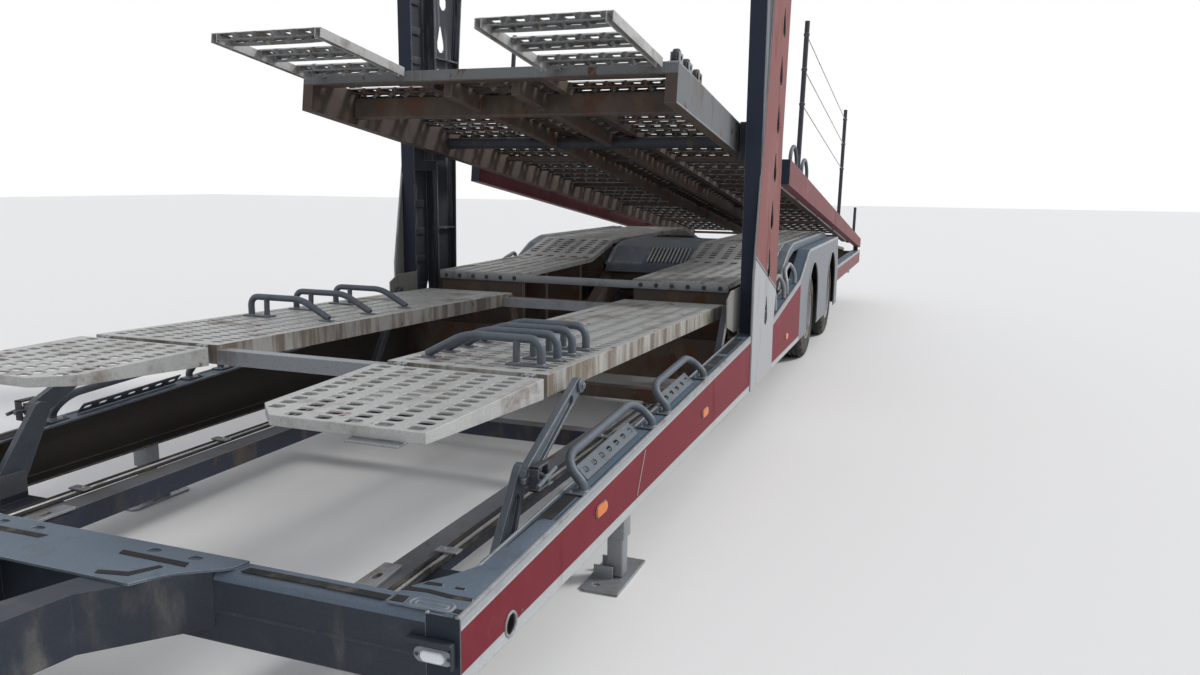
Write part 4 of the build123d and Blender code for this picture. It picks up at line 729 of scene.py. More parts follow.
def addPlate(target, outline, low, high, holes=(), size=(0.03, 0.03), corner=0.01, bevel=0.0, material=0):
    # a flat plate from its (x, y) outline, with rounded openings at the given middles
    bm = bmesh.new()
    bm.faces.new([bm.verts.new((x, y, high)) for x, y in outline])
    for x, y in holes:
        for offset, axis in ((-size[0], 0), (size[0], 0), (-size[1], 1), (size[1], 1)):
            normal = Vector((1 - axis, axis, 0))
            bmesh.ops.bisect_plane(bm, geom=bm.verts[:] + bm.edges[:] + bm.faces[:], plane_no=normal,
                                   plane_co=Vector((x, y, 0)) + normal * offset)
    if holes:
        cells = [face for face in bm.faces
                 if any((face.calc_center_median() - Vector((x, y, high))).length < 0.002 for x, y in holes)]
        punchHoles(bm, cells, (size[0], size[1], 0), corner, 3)
    thicken(bm, high - low)
    bmesh.ops.translate(bm, vec=(0, 0, high - max(vert.co.z for vert in bm.verts)), verts=bm.verts)
    if bevel:
        roundOff(bm, [edge for edge in bm.edges if len(edge.link_faces) == 2
                      and edge.calc_face_angle(0) > 0.9], bevel)
    joinInto(target, bm, material)


def laidOut(outline):
    return [(xAt(at), y) for at, y in outline]


def lineAt(bends, at):
    # height at a distance on a line of (at, height) bends
    for (at0, z0), (at1, z1) in zip(bends, bends[1:]):
        if at <= at1:
            return z0 + (at - at0) / (at1 - at0) * (z1 - z0)
    return bends[-1][1]


def arc(middle, radius, first, last, count):
    # (at, height) points round a middle, counted in degrees up from the front
    angles = [math.radians(first + (last - first) * index / count) for index in range(count + 1)]
    return [(middle[0] - radius * math.cos(angle), middle[1] + radius * math.sin(angle)) for angle in angles]


deckPlace = Matrix.Translation(spot(2.5, 0, 2.12)) @ Matrix.Rotation(math.radians(-8.3), 4, "Y")
trackPlace = Matrix.Translation(jointPlace("front_deck_tilt")) @ Matrix.Rotation(math.radians(-1.8), 4, "Y")

# flaps at the front of the lower deck
flap = {"columns": 6, "rows": 13, "holeAcross": 0.062, "holeAlong": 0.036, "corner": 0.016, "sheet": 0.006,
        "inner": 0.393, "outer": 1.077, "taper": 0.045, "cut": 0.105, "rear": 0.045, "front": 0.745,
        "top": 0.013, "rearSkirt": 0.074, "frontSkirt": 0.033, "tilt": {"left": 1.5, "right": -0.5},
        "firstColumn": 0.452, "lastColumn": 0.981, "firstRow": 0.033, "lastRow": 0.664}
flapPlaces = {side: Matrix.Translation(jointPlace("lower_flap_left_hinge") * Vector((1, 0, 1)))
              @ Matrix.Rotation(math.radians(tilt), 4, "Y") for side, tilt in flap["tilt"].items()}


def flapShare(x):
    # 0 at the flap's rear edge and 1 at its front edge
    return (x - flap["rear"]) / (flap["front"] - flap["rear"])


def onOutline(point):
    # true on the plate's outer outline, which the skirts hang from
    outer = flap["outer"] - flap["taper"] * flapShare(point.x)
    onCut = abs((point.x - flap["front"] + flap["cut"]) - (point.y - flap["inner"])) < 1e-3
    return (point.x < flap["rear"] + 1e-3 or point.x > flap["front"] - 1e-3 or point.y < flap["inner"] + 1e-3
            or point.y > outer - 1e-3 or onCut)


def makeFlap(side):
    # perforated plate with a cut inner corner and skirts that get lower to the front
    pitchAcross = (flap["lastColumn"] - flap["firstColumn"]) / (flap["columns"] - 1)
    pitchAlong = (flap["lastRow"] - flap["firstRow"]) / (flap["rows"] - 1)
    start = flap["rear"] + flap["firstRow"] - pitchAlong / 2
    end = start + flap["rows"] * pitchAlong
    crossways = (flap["firstColumn"] - pitchAcross / 2, flap["lastColumn"] + pitchAcross / 2)
    bm, cells = marginSheet((start, end), crossways, flap["rows"], flap["columns"],
                            (flap["rear"], flap["front"]), (flap["inner"], flap["outer"]))
    inCorner = [face for face in cells if face.calc_center_median().x > end - pitchAlong
                and face.calc_center_median().y < crossways[0] + pitchAcross]
    punchHoles(bm, [face for face in cells if face not in inCorner],
               (flap["holeAlong"], flap["holeAcross"], 0), flap["corner"])
    # the inner front corner is cut and the outer edge runs in to the front
    lastEdge = flap["lastColumn"] + flap["holeAcross"] / 2
    for vert in bm.verts:
        if vert.co.y > lastEdge:
            inward = (vert.co.y - lastEdge) / (flap["outer"] - lastEdge)
            vert.co.y -= flap["taper"] * flapShare(vert.co.x) * inward
    bmesh.ops.bisect_plane(bm, geom=bm.verts[:] + bm.edges[:] + bm.faces[:], clear_outer=True,
                           plane_co=(flap["front"] - flap["cut"], flap["inner"], 0),
                           plane_no=Vector((1, -1, 0)).normalized())
    bmesh.ops.remove_doubles(bm, verts=bm.verts, dist=0.001)
    bmesh.ops.dissolve_degenerate(bm, edges=bm.edges, dist=0.001)
    outline = [edge for edge in boundary(bm) if all(onOutline(vert.co) for vert in edge.verts)]
    for vert in newVerts(bmesh.ops.extrude_edge_only(bm, edges=outline)):
        vert.co.z -= flap["rearSkirt"] + flapShare(vert.co.x) * (flap["frontSkirt"] - flap["rearSkirt"])
    bmesh.ops.translate(bm, vec=(0, 0, flap["top"]), verts=bm.verts)
    thicken(bm, flap["sheet"])
    finishPiece("flapPlate_" + side, bm, "lower_flap_" + side, "deckPlate", ["lower_flap_" + side], 35,
                flapPlaces[side], side)


for side in sides:
    makeFlap(side)
print("lower flaps ready")

# tracks of the lower deck's front part
track = {"inner": 0.405, "outer": 1.065, "rear": -0.03, "front": 2.7, "top": 0.04, "side": 0.08,
         "sheet": 0.006, "columns": 6, "pitch": 0.0535, "holeAcross": 0.062, "holeAlong": 0.034,
         "corner": 0.012, "margin": 0.012}


def makeTrackPlate(side):
    # perforated top plate with deep side skirts, drawn over the tilting track
    margin, edges = track["margin"], (track["inner"], track["outer"])
    rows = int((track["front"] - track["rear"] - 2 * margin) / track["pitch"])
    start = track["rear"] + margin
    bm, cells = marginSheet((start, start + rows * track["pitch"]), (edges[0] + margin, edges[1] - margin),
                            rows, track["columns"], (track["rear"], track["front"]), edges)
    sideEdges = [edge for edge in boundary(bm)
                 if max(vert.co.x for vert in edge.verts) > track["rear"] + 1e-4]
    addSkirt(bm, sideEdges, track["side"])
    punchHoles(bm, cells, (track["holeAlong"], track["holeAcross"], 0), track["corner"], 1)
    bmesh.ops.translate(bm, vec=(0, 0, track["top"]), verts=bm.verts)
    thicken(bm, track["sheet"])
    for face in bm.faces:
        if abs(face.normal.z) < 0.5 and face.calc_area() > 0.003:
            face.material_index = 1
    finishPiece("trackPlate_" + side, bm, "front_deck", ["deckPlate", "trackSide"], ["lower_track_" + side],
                None, trackPlace, side)


hinge = {"pinHalf": 0.021, "pinRadius": 0.008, "lugWidth": 0.014, "reach": 0.018, "drop": 0.013,
         "tongue": 0.05}


def makeHinges(side, name, body, flapBody, place, front, surface, places):
    # two pins with lugs on the deck and an eye on the flap
    lugs, eyes = bmesh.new(), bmesh.new()
    width, half = hinge["lugWidth"], hinge["pinHalf"]
    x, z = front + hinge["reach"], surface - hinge["drop"]
    for y in places:
        middle = y + width / 2
        for low in (y - width, y + width):
            addBar(lugs, (front - 0.004, low, z - 0.013), (x + 0.011, low + width, z + 0.013), 0.003)
        addStub(lugs, (x, middle - half, z), "Y", 2 * half, hinge["pinRadius"], 16)
        addStub(lugs, (x, middle - half - 0.005, z), "Y", 0.005, 0.0115, 6)
        addStub(eyes, (x, y + 0.0005, z), "Y", width - 0.001, 0.0125, 16)
        addBar(eyes, (x, y + 0.0005, z - 0.008), (x + hinge["tongue"], y + width - 0.0005, z + 0.006), 0.002)
    finishPiece(name + "Lugs_" + side, lugs, body, "galvanised", place=place, side=side)
    finishPiece(name + "Eyes_" + side, eyes, flapBody, "galvanised", place=place, side=side)


for side in sides:
    makeTrackPlate(side)
    makeHinges(side, "lowerHinge", "front_deck", "lower_flap_" + side, trackPlace, track["front"],
               track["top"], (0.465, 0.991))
print("lower tracks ready")

# slats of the upper deck and its flaps
slat = {"length": 0.11, "fold": 0.032, "sheet": 0.004, "holeAcross": 0.062, "holeAlong": 0.036,
        "holeHigh": 0.014, "corner": 0.0066, "pitch": 0.27, "first": 0.07, "deckLength": 8.56,
        "inner": 0.385, "outer": 1.028}


def addSlat(target, rear, inner, outer, columns):
    # a plank with folded edges and openings in its top and folds; rear is the higher x
    bm = bmesh.new()
    gridSheet(bm, (rear - slat["length"], rear), (inner, outer), 3, columns)
    third = slat["length"] / 3
    for vert in bm.verts:
        away = vert.co.x - (rear - slat["length"] / 2)
        if abs(away) > slat["length"] * 0.4:
            vert.co.z = -slat["fold"]
        elif abs(away) > third * 0.4:
            vert.co.x += math.copysign(slat["length"] / 2 - third / 2, away)
    punchHoles(bm, bm.faces[:], (slat["holeAlong"], slat["holeAcross"], slat["holeHigh"]), slat["corner"], 1)
    thicken(bm, slat["sheet"])
    bm.normal_update()
    # faces that don't face up take the second material, which carries painted shade
    for face in bm.faces:
        face.material_index = 0 if face.normal.z > 0.5 else 1
    joinInto(target, bm)


def makeUpperTrack(side):
    bm = bmesh.new()
    for index in range(int((slat["deckLength"] - slat["first"]) / slat["pitch"])):
        addSlat(bm, -slat["first"] - index * slat["pitch"], slat["inner"], slat["outer"], 6)
    finishPiece("upperSlats_" + side, bm, "upper_deck", ["deckPlate", "slatUnderShade"], ["upper_track_" + side],
                None, deckPlace, side)


upperFlap = {"inner": 0.395, "outer": 1.028, "bar": 0.034, "barDepth": 0.045, "rear": 0.063, "length": 0.7,
             "slats": 3, "holeRadius": 0.012, "holePitch": 0.038, "sheet": 0.004}


def addSideBar(target, rear, front, low, high, outward):
    # a folded channel whose upright side has a row of openings
    bm = bmesh.new()
    gridSheet(bm, (rear, front), (low, high), int((front - rear) / upperFlap["holePitch"]), 3)
    middle = (low + high) / 2
    for vert in bm.verts:
        offset = vert.co.y - middle
        if abs(offset) > upperFlap["bar"] * 0.4:
            vert.co.z = -upperFlap["barDepth"]
        elif abs(offset) > upperFlap["bar"] * 0.1:
            vert.co.y = middle + math.copysign(upperFlap["bar"] / 2, offset)
    upright = [face for face in bm.faces if abs(face.normal.z) < 0.5
               and (face.calc_center_median().y - middle) * outward > 0]
    size = 2 * upperFlap["holeRadius"]
    punchHoles(bm, upright, (size, 0, size), upperFlap["holeRadius"] * 0.6)
    thicken(bm, upperFlap["sheet"])
    joinInto(target, bm)


def makeUpperFlap(side):
    # three slats between channel bars with rows of round openings
    bm = bmesh.new()
    rear, front = upperFlap["rear"], upperFlap["rear"] + upperFlap["length"]
    step = (upperFlap["length"] - slat["length"]) / (upperFlap["slats"] - 1)
    inner, outer = upperFlap["inner"] + upperFlap["bar"], upperFlap["outer"] - upperFlap["bar"]
    for index in range(upperFlap["slats"]):
        addSlat(bm, front - index * step, inner, outer, 5)
    addSideBar(bm, rear, front, upperFlap["inner"], inner, -1)
    addSideBar(bm, rear, front, outer, upperFlap["outer"], 1)
    finishPiece("upperFlapFrame_" + side, bm, "upper_flap_" + side, ["deckPlate", "shadedSlatSide"],
                ["upper_flap_" + side], None, deckPlace, side)


for side in sides:
    makeUpperTrack(side)
    makeUpperFlap(side)
    makeHinges(side, "upperHinge", "upper_deck", "upper_flap_" + side, deckPlace, 0.0, 0.0, (0.455, 0.954))
print("upper slats and flaps ready")

# front beam with its corner plates and the plate over the drawbar
frontBeam = {"depth": 0.075, "bottom": 0.24, "top": 0.462, "nose": 0.036, "seam": 0.341,
             "half": halfWidth - 0.11,
             "strip": [(0.02, 0.56), (0.05, 0.57), (0.052, 0.8), (0.049, 1.035), (0.019, 1.032),
                       (0.022, 0.8)],
             "rootPlate": [(0.075, 0.545), (0.045, 0.54), (0.02, 0.53), (0.0, 0.507), (-0.015, 0.483),
                           (-0.04, 0.446), (-0.07, 0.411), (-0.11, 0.378), (-0.165, 0.349)],
             "rootHoles": [(0.033, 0.235), (0.031, 0.388)],
             "rootStrips": [[(0.0, 0.15), (-0.025, 0.16), (-0.028, 0.41), (-0.002, 0.4)],
                            [(-0.13, 0.2), (-0.15, 0.21), (-0.13, 0.31), (-0.05, 0.355), (-0.045, 0.335),
                             (-0.11, 0.29)]],
             "cornerPlate": [(0.012, 1.045), (0.07, 1.045), (0.11, 1.06), (0.153, 1.089), (0.195, 1.123),
                             (0.232, 1.148), (0.286, 1.178), (0.37, 1.189), (0.62, 1.196), (0.64, 1.21),
                             (0.64, 1.262), (0.012, 1.262)],
             "patches": [[(0.016, 1.05), (0.05, 1.05), (0.052, 1.088), (0.018, 1.09)],
                         [(0.078, 1.045), (0.1, 1.05), (0.104, 1.12), (0.097, 1.19), (0.098, 1.25),
                          (0.083, 1.255), (0.078, 1.19), (0.086, 1.12)],
                         [(0.016, 1.235), (0.034, 1.235), (0.036, 1.256), (0.014, 1.256)],
                         [(0.125, 1.085), (0.142, 1.09), (0.144, 1.135), (0.13, 1.14)],
                         [(0.13, 1.178), (0.14, 1.178), (0.141, 1.205), (0.131, 1.206)]],
             "rims": [((0.012, 0.055), (1.103, 1.228), 0.0035, 0.02),
                      ((0.024, 0.043), (1.118, 1.213), 0.002, 0.009)],
             "sillRise": 0.0421}


def makeFrontBeam():
    half, top, bottom = frontBeam["half"], frontBeam["top"], frontBeam["bottom"]
    bm = bmesh.new()
    cubeBetween(bm, spot(frontBeam["depth"], -half, bottom), spot(0, half, top))
    nose = [edge for edge in bm.edges
            if all(vert.co.x > xAt(0.01) and vert.co.z > top - 0.01 for vert in edge.verts)]
    roundOff(bm, nose, frontBeam["nose"], 8)
    roundOff(bm, [edge for edge in bm.edges if all(vert.co.z < bottom + 0.01 for vert in edge.verts)
                  and abs(edge.verts[0].co.y - edge.verts[1].co.y) > half], 0.012, 3)
    bm.normal_update()
    # tops take the painted lit finish, the other faces the painted shade finish
    for face in bm.faces:
        face.material_index = 1 if face.normal.z < 0.12 else 0
    # weld seam along the face
    addTube(bm, spots([(-0.0005, -half, frontBeam["seam"]), (-0.0005, half, frontBeam["seam"])]), 0.0028,
            material=1)
    beside = bmesh.new()
    addPlate(beside, laidOut(frontBeam["strip"]), top, top + 0.0018, material=2)
    # corner plate that rises with the sill
    corner = bmesh.new()
    addPlate(corner, laidOut(frontBeam["cornerPlate"]), top - 0.004, top + 0.003, bevel=0.002)
    for outline in frontBeam["patches"]:
        addPlate(corner, laidOut(outline), top + 0.002, top + 0.0045, material=2)
    for (at0, at1), (low, high), radius, bend in frontBeam["rims"]:
        ring = [(at0, low), (at0, high), (at1, high), (at1, low)]
        addTube(corner, [spot(at, y, top + 0.003) for at, y in ring], radius, bend, closed=True)
    for vert in corner.verts:
        vert.co.z += frontBeam["sillRise"] * max(frontFace - vert.co.x, 0)
    joinInto(beside, corner)
    for strip in frontBeam["rootStrips"]:
        addPlate(beside, laidOut(strip), top + 0.008, top + 0.0098, material=2)
    mirrorOver(beside)
    joinInto(bm, beside)
    # plate over the drawbar's root
    edge = laidOut(frontBeam["rootPlate"])
    holes = [(x, y * sign) for x, y in laidOut(frontBeam["rootHoles"]) for sign in (1, -1)]
    addPlate(bm, edge + [(x, -y) for x, y in reversed(edge)], top, top + 0.008, holes, (0.032, 0.047), 0.0155)
    finishPiece("frontBeamShell", bm, "chassis", ["litBeamTop", "beamFace", "antiSlip"], ["front_beam"], 35)


# lamps: oval position lamps under a shelf, and amber side markers in oval recesses
lamps = {"frontY": halfWidth - 0.083, "frontHeight": 0.35, "halfLong": 0.058, "halfHigh": 0.022,
         "shelf": 0.385, "markers": [(1.01, 0.405), (2.5, 0.405), (5.0, 0.405)], "markerLong": 0.052,
         "markerHigh": 0.02}


def addOval(target, halfLong, halfHigh, depth, material, place, crown):
    # a racetrack shaped block, long along X and drawn up along Z, with a rounded front edge
    bm = bmesh.new()
    cubeBetween(bm, (-halfLong, -halfHigh, 0), (halfLong, halfHigh, depth))
    upright = [edge for edge in bm.edges if abs(edge.verts[0].co.z - edge.verts[1].co.z) > depth / 2]
    roundOff(bm, upright, halfHigh * 0.98, 7)
    rims = [edge for edge in bm.edges if all(vert.co.z > depth * 0.9 for vert in edge.verts)
            and any(abs(vert.co.z - depth) > depth / 2 for face in edge.link_faces for vert in face.verts)]
    roundOff(bm, rims, crown, 3)
    joinInto(target, bm, material, place)


def makeLamps():
    bm = bmesh.new()
    # position lamp on the beam: its long side lies across the trailer
    place = Matrix(((0, 0, 1, xAt(0)), (1, 0, 0, lamps["frontY"]), (0, 1, 0, lamps["frontHeight"]),
                    (0, 0, 0, 1)))
    addOval(bm, lamps["halfLong"], lamps["halfHigh"], 0.011, 2, place, 0.004)
    addOval(bm, lamps["halfLong"] * 0.62, lamps["halfHigh"] * 0.72, 0.019, 1, place, 0.006)
    for offset in (-0.047, 0.047):
        addStub(bm, place @ Vector((offset, 0, 0.01)), "X", 0.0025, 0.0065, 10, material=3)
    for at, height in lamps["markers"]:
        place = Matrix(((1, 0, 0, xAt(at)), (0, 0, 1, halfWidth - 0.008), (0, 1, 0, height), (0, 0, 0, 1)))
        addOval(bm, lamps["markerLong"] * 1.12, lamps["markerHigh"] * 1.2, 0.003, 3, place, 0.001)
        addOval(bm, lamps["markerLong"], lamps["markerHigh"], 0.008, 0, place, 0.0035)
    mirrorOver(bm)
    finishPiece("ovalLamps", bm, "chassis", ["amber", "lampGlow", "lampBody", "darkSteel"], ["marker_lamps"],
                40)


def makeLampShelves():
    # folded guard over each position lamp, in the front beam face's painted-shade finish
    bm = bmesh.new()
    for sign in sides.values():
        y = lamps["frontY"] * sign
        addBar(bm, spot(0.001, y - 0.075, lamps["shelf"]), spot(-0.03, y + 0.062, lamps["shelf"] + 0.013),
               0.006, 3)
        addBar(bm, spot(0.001, y + 0.062 * sign, 0.325),
               spot(-0.022, y + 0.056 * sign, lamps["shelf"] + 0.01), 0.002)
    finishPiece("lampShelves", bm, "chassis", "beamFace", smooth=35)


makeFrontBeam()
makeLamps()
makeLampShelves()
print("front beam ready")

# sill trims: rounded outer edge, anti-slip strips, hole rings and the bases of the hoops
sillTrim = {"inner": halfWidth - 0.11, "outer": halfWidth - 0.008, "edge": 0.008, "holeAt": 0.285,
            "holeHeight": 0.314, "ringRadius": 0.037, "strips": [(0.42, 0.86), (2.62, 3.05), (3.12, 3.55)],
            "seamAt": 1.52, "hoops": [(0.9, 0.78), (1.9, 0.65)], "hoopRadius": 0.0175, "hoopHeight": 0.115,
            "lean": 0.07, "footY": halfWidth - 0.033, "slotPitch": 0.075}


def sillTop(at):
    return lineAt(stripes["sillTop"], at)


def makeSillTrim(side):
    bm = bmesh.new()
    inner, outer = sillTrim["inner"], sillTrim["outer"]
    bends = stripes["sillTop"][:4]
    addTube(bm, [spot(at, outer - 0.006, z - 0.003) for at, z in bends], sillTrim["edge"], 0.05)
    addTube(bm, [spot(at, inner + 0.006, z - 0.003) for at, z in bends], 0.006, 0.05)
    # thin dark line of painted shade in the groove beside the rounded edge
    for (at0, z0), (at1, z1) in zip(bends, bends[1:]):
        addRod(bm, spot(at0, outer - 0.02, z0), spot(at1, outer - 0.02, z1), 0.0016, 6, material=1)
    for at0, at1 in sillTrim["strips"]:
        start, end = spot(at0, 0, sillTop(at0)), spot(at1, 0, sillTop(at1))
        incline = math.atan2(end.z - start.z, start.x - end.x)
        turn = Matrix.Translation(start) @ Matrix.Rotation(incline, 4, "Y")
        addBar(bm, (-(end - start).length, inner + 0.022, 0.0005), (0, outer - 0.03, 0.0025), 0.0008, 1,
               turn, 1)
    # ring round the opening in the sill's face, and a dark disc of painted shade for its small hole
    ring = arc((sillTrim["holeAt"], sillTrim["holeHeight"]), sillTrim["ringRadius"], 0, 315, 7)
    addTube(bm, [spot(at, outer + 0.0005, z) for at, z in ring], 0.0045, 0.02, closed=True)
    addStub(bm, spot(sillTrim["holeAt"] + 0.075, outer - 0.002, 0.318), "Y", 0.003, 0.007, material=2)
    # oblique joint between two lengths of stripe
    seam = sillTrim["seamAt"]
    addRod(bm, spot(seam, outer - 0.0005, sillTop(seam) - 0.045), spot(seam - 0.1, outer - 0.0005, 0.32),
           0.003, 6)
    finishPiece("sillTrim_" + side, bm, "chassis", ["galvanised", "antiSlip", "darkSteel"], smooth=40,
                side=side)


def makeSillHoops():
    # thick hoops that lean inwards on base plates, with a slotted plate between their feet
    bm = bmesh.new()
    rise, footY = sillTrim["hoopHeight"], sillTrim["footY"]
    topY = footY - sillTrim["lean"]
    for at0, length in sillTrim["hoops"]:
        at1 = at0 + length
        z0, z1 = sillTop(at0), sillTop(at1)
        path = [(at0, footY, z0 + 0.004), (at0, footY, z0 + 0.03), (at0, topY + 0.02, z0 + rise * 0.72),
                (at0 + 0.05, topY, z0 + rise), (at1 - 0.08, topY, z1 + rise),
                (at1, topY + 0.03, z1 + rise * 0.62), (at1, footY, z1 + 0.03), (at1, footY, z1 + 0.004)]
        addTube(bm, spots(path), sillTrim["hoopRadius"], 0.05, detail=3)
        for at, z in ((at0, z0), (at1, z1)):
            addBar(bm, spot(at + 0.045, footY - 0.05, z + 0.0005),
                   spot(at - 0.045, footY + 0.02, z + 0.0075), 0.003)
            for offset in (-0.032, 0.032):
                addStub(bm, spot(at + offset, footY - 0.036, z + 0.0075), "Z", 0.006, 0.0085, 6)
        # slotted plate that slopes up inside the hoop
        first, last = at0 + 0.1, at1 - 0.12
        count = int((last - first) / sillTrim["slotPitch"])
        holes = [(first + (index + 0.5) * (last - first) / count, 0.0) for index in range(count)]
        sheet = bmesh.new()
        addPlate(sheet, [(first, -0.028), (last, -0.028), (last, 0.028), (first, 0.028)], -0.005, 0.0, holes,
                 (0.042, 0.02), 0.009)
        for vert in sheet.verts:
            at, across, up = vert.co
            vert.co = spot(at, footY - 0.045 + across * 0.8, sillTop(at) + 0.03 - across * 0.8 + up)
        joinInto(bm, sheet)
    mirrorOver(bm)
    finishPiece("sillHoops", bm, "chassis", "hoopSteel", ["sill_chocks"], 40)


trackChocks = {"left": [0.14, 0.29, 0.44, 0.59], "right": [0.85, 1.2, 1.55], "radius": 0.0165, "inner": 0.495,
               "outer": 0.975, "slope": 0.165, "height": 0.1}


def makeTrackHoops():
    # each bar slopes up from the inner edge, runs across and is bent back down on a base plate
    bm = bmesh.new()
    low, high = track["top"], track["top"] + trackChocks["height"]
    for side, sign in sides.items():
        inner, outer, slope = (trackChocks[key] * sign for key in ("inner", "outer", "slope"))
        for setback in trackChocks[side]:
            x = track["front"] - setback
            path = [(x + 0.002, inner, low + 0.014), (x, inner + slope, high), (x, outer, high),
                    (x - 0.004, outer, low + 0.004)]
            addTube(bm, path, trackChocks["radius"], 0.045, detail=3)
            leg = outer - 0.1 * sign
            addTube(bm, [(x, leg, high), (x, leg, low + 0.004)], trackChocks["radius"] * 0.85, detail=3)
            addBar(bm, (x - 0.03, outer - 0.135 * sign, low + 0.0005),
                   (x + 0.03, outer + 0.03 * sign, low + 0.0075), 0.003)
            addBar(bm, (x - 0.022, inner - 0.02 * sign, low + 0.0005),
                   (x + 0.022, inner + 0.05 * sign, low + 0.0055), 0.002)
    finishPiece("trackHoops", bm, "front_deck", "hoopSteel", ["track_chocks"], 40, trackPlace)


for side in sides:
    makeSillTrim(side)
makeSillHoops()
makeTrackHoops()
print("sills and chocks ready")

# pipes beside the low rails
pipes = {"first": 0.8155, "pitch": 0.024, "height": 0.303, "start": 0.075, "end": 3.76,
         "clamps": [0.68, 1.45, 2.2, 2.95], "radii": (0.0075, 0.006, 0.0075), "slots": (1, 0, 1),
         "wave": [(0.5, 0.003), (1.05, -0.005), (1.8, 0.004), (2.7, -0.003)]}


def makePipes():
    bm = bmesh.new()
    first, height = pipes["first"], pipes["height"]
    for index, radius in enumerate(pipes["radii"]):
        y = first + index * pipes["pitch"]
        wave = [(pipes["start"], 0.0)] + pipes["wave"] + [(pipes["end"], 0.0)]
        path = [(at, y + shift * (1 - index * 0.5), height) for at, shift in wave]
        addTube(bm, spots(path), radius, 0.3, pipes["slots"][index])
    for at in pipes["clamps"]:
        addBar(bm, spot(at + 0.022, first - 0.018, height + 0.006),
               spot(at - 0.022, first + 0.068, height + 0.014), 0.003, material=2)
        addStub(bm, spot(at, first + 0.012, height + 0.013), "Z", 0.007, 0.006, 6)
    mirrorOver(bm)
    finishPiece("pipeRun", bm, "chassis", ["bareSteel", "rubber", "galvanised"], ["hydraulic_pipes"], 40)


railBracket = {"outline": [(0.36, 0.69), (0.53, 0.69), (0.53, 0.755), (0.36, 0.765)], "low": 0.2965,
               "high": 0.3065, "hole": (0.43, 0.725), "holeSize": (0.05, 0.026), "corner": 0.012}


def makeRailBrackets():
    # small holed plates on the ends of the low rails
    bm = bmesh.new()
    addPlate(bm, laidOut(railBracket["outline"]), railBracket["low"], railBracket["high"],
             laidOut([railBracket["hole"]]), railBracket["holeSize"], railBracket["corner"])
    mirrorOver(bm)
    finishPiece("railBrackets", bm, "chassis", "galvanised", smooth=35)


makePipes()
makeRailBrackets()

# knee props: joint hubs, bosses and folded rims
props = {"y": 1.1, "box": 0.042, "wall": 0.008, "thickness": 0.026, "lowerHalf": 0.039, "foot": (0.56, 0.335),
         "knee": (0.725, 0.6), "eye": (1.15, 0.812), "bolts": 6, "boltCircle": 0.024}


def addBoss(target, point, y, radius, height, cap, bevel):
    # a round boss with a hexagonal pin end
    place = spot(point[0], y, point[1])
    addStub(target, place, "Y", height, radius, 20, bevel=bevel)
    addStub(target, place + Vector((0, height, 0)), "Y", 0.008, cap, 6)


def makePropDetail(side):
    lower, upper = bmesh.new(), bmesh.new()
    (at, z), y = props["knee"], props["y"]
    hub = y + props["lowerHalf"]
    knee = spot(at, hub, z)
    # square box round the knee joint, open towards the outside
    box, wall = props["box"], props["wall"]
    for x0, z0, x1, z1 in ((-box, -box, box, wall - box), (-box, box - wall, box, box),
                           (-box, -box, wall - box, box), (box - wall, -box, box, box)):
        addBar(lower, knee + Vector((x0, 0, z0)), knee + Vector((x1, 0.034, z1)), 0.002, material=1)
    addStub(lower, knee, "Y", 0.016, 0.027, 20, bevel=0.004)
    for boltAt, boltZ in arc((at, z), props["boltCircle"], 0, 300, props["bolts"] - 1):
        addStub(lower, spot(boltAt, hub + 0.015, boltZ), "Y", 0.006, 0.005, 6)
    # T-handle of the locking pin
    addStub(lower, spot(at, hub + 0.012, z), "Y", 0.033, 0.009)
    addTube(lower, spots([(at - 0.07, hub + 0.045, z - 0.012), (at + 0.07, hub + 0.045, z + 0.012)]), 0.008)
    addBoss(lower, props["foot"], y, 0.03, 0.012, 0.016, 0.003)
    finishPiece("propHub_" + side, lower, "prop_lower_" + side, ["hoopSteel", "darkSteel"], smooth=35,
                side=side)
    addBoss(upper, props["eye"], y + props["thickness"], 0.027, 0.012, 0.012, 0.004)
    finishPiece("propBoss_" + side, upper, "prop_upper_" + side, "hoopSteel", smooth=35, side=side)


for side in sides:
    makePropDetail(side)
print("pipes and props ready")

# wheels: grooved tyres, dished rims with nuts
wheels = {"axles": {"front": 6.4, "rear": 7.76}, "radius": 0.394, "outerY": halfWidth - 0.163,
          "spacing": 0.276, "half": 0.1225, "bead": 0.222, "steps": 60,
          "grooves": (-0.062, -0.021, 0.021, 0.062), "nuts": 10, "nutCircle": 0.103, "handCircle": 0.168,
          "handTurn": 0.31}


def spunRing(profile, steps):
    # turns an outline of (radius, y) points about the Y axis
    bm = bmesh.new()
    verts = [bm.verts.new((0, y, radius)) for radius, y in profile]
    for pair in zip(verts, verts[1:]):
        bm.edges.new(pair)
    bmesh.ops.spin(bm, geom=bm.verts[:] + bm.edges[:], cent=(0, 0, 0), axis=(0, 1, 0), angle=math.tau,
                   steps=steps, use_merge=True)
    bmesh.ops.remove_doubles(bm, verts=bm.verts, dist=0.00005)
    bmesh.ops.recalc_face_normals(bm, faces=bm.faces)
    return bm


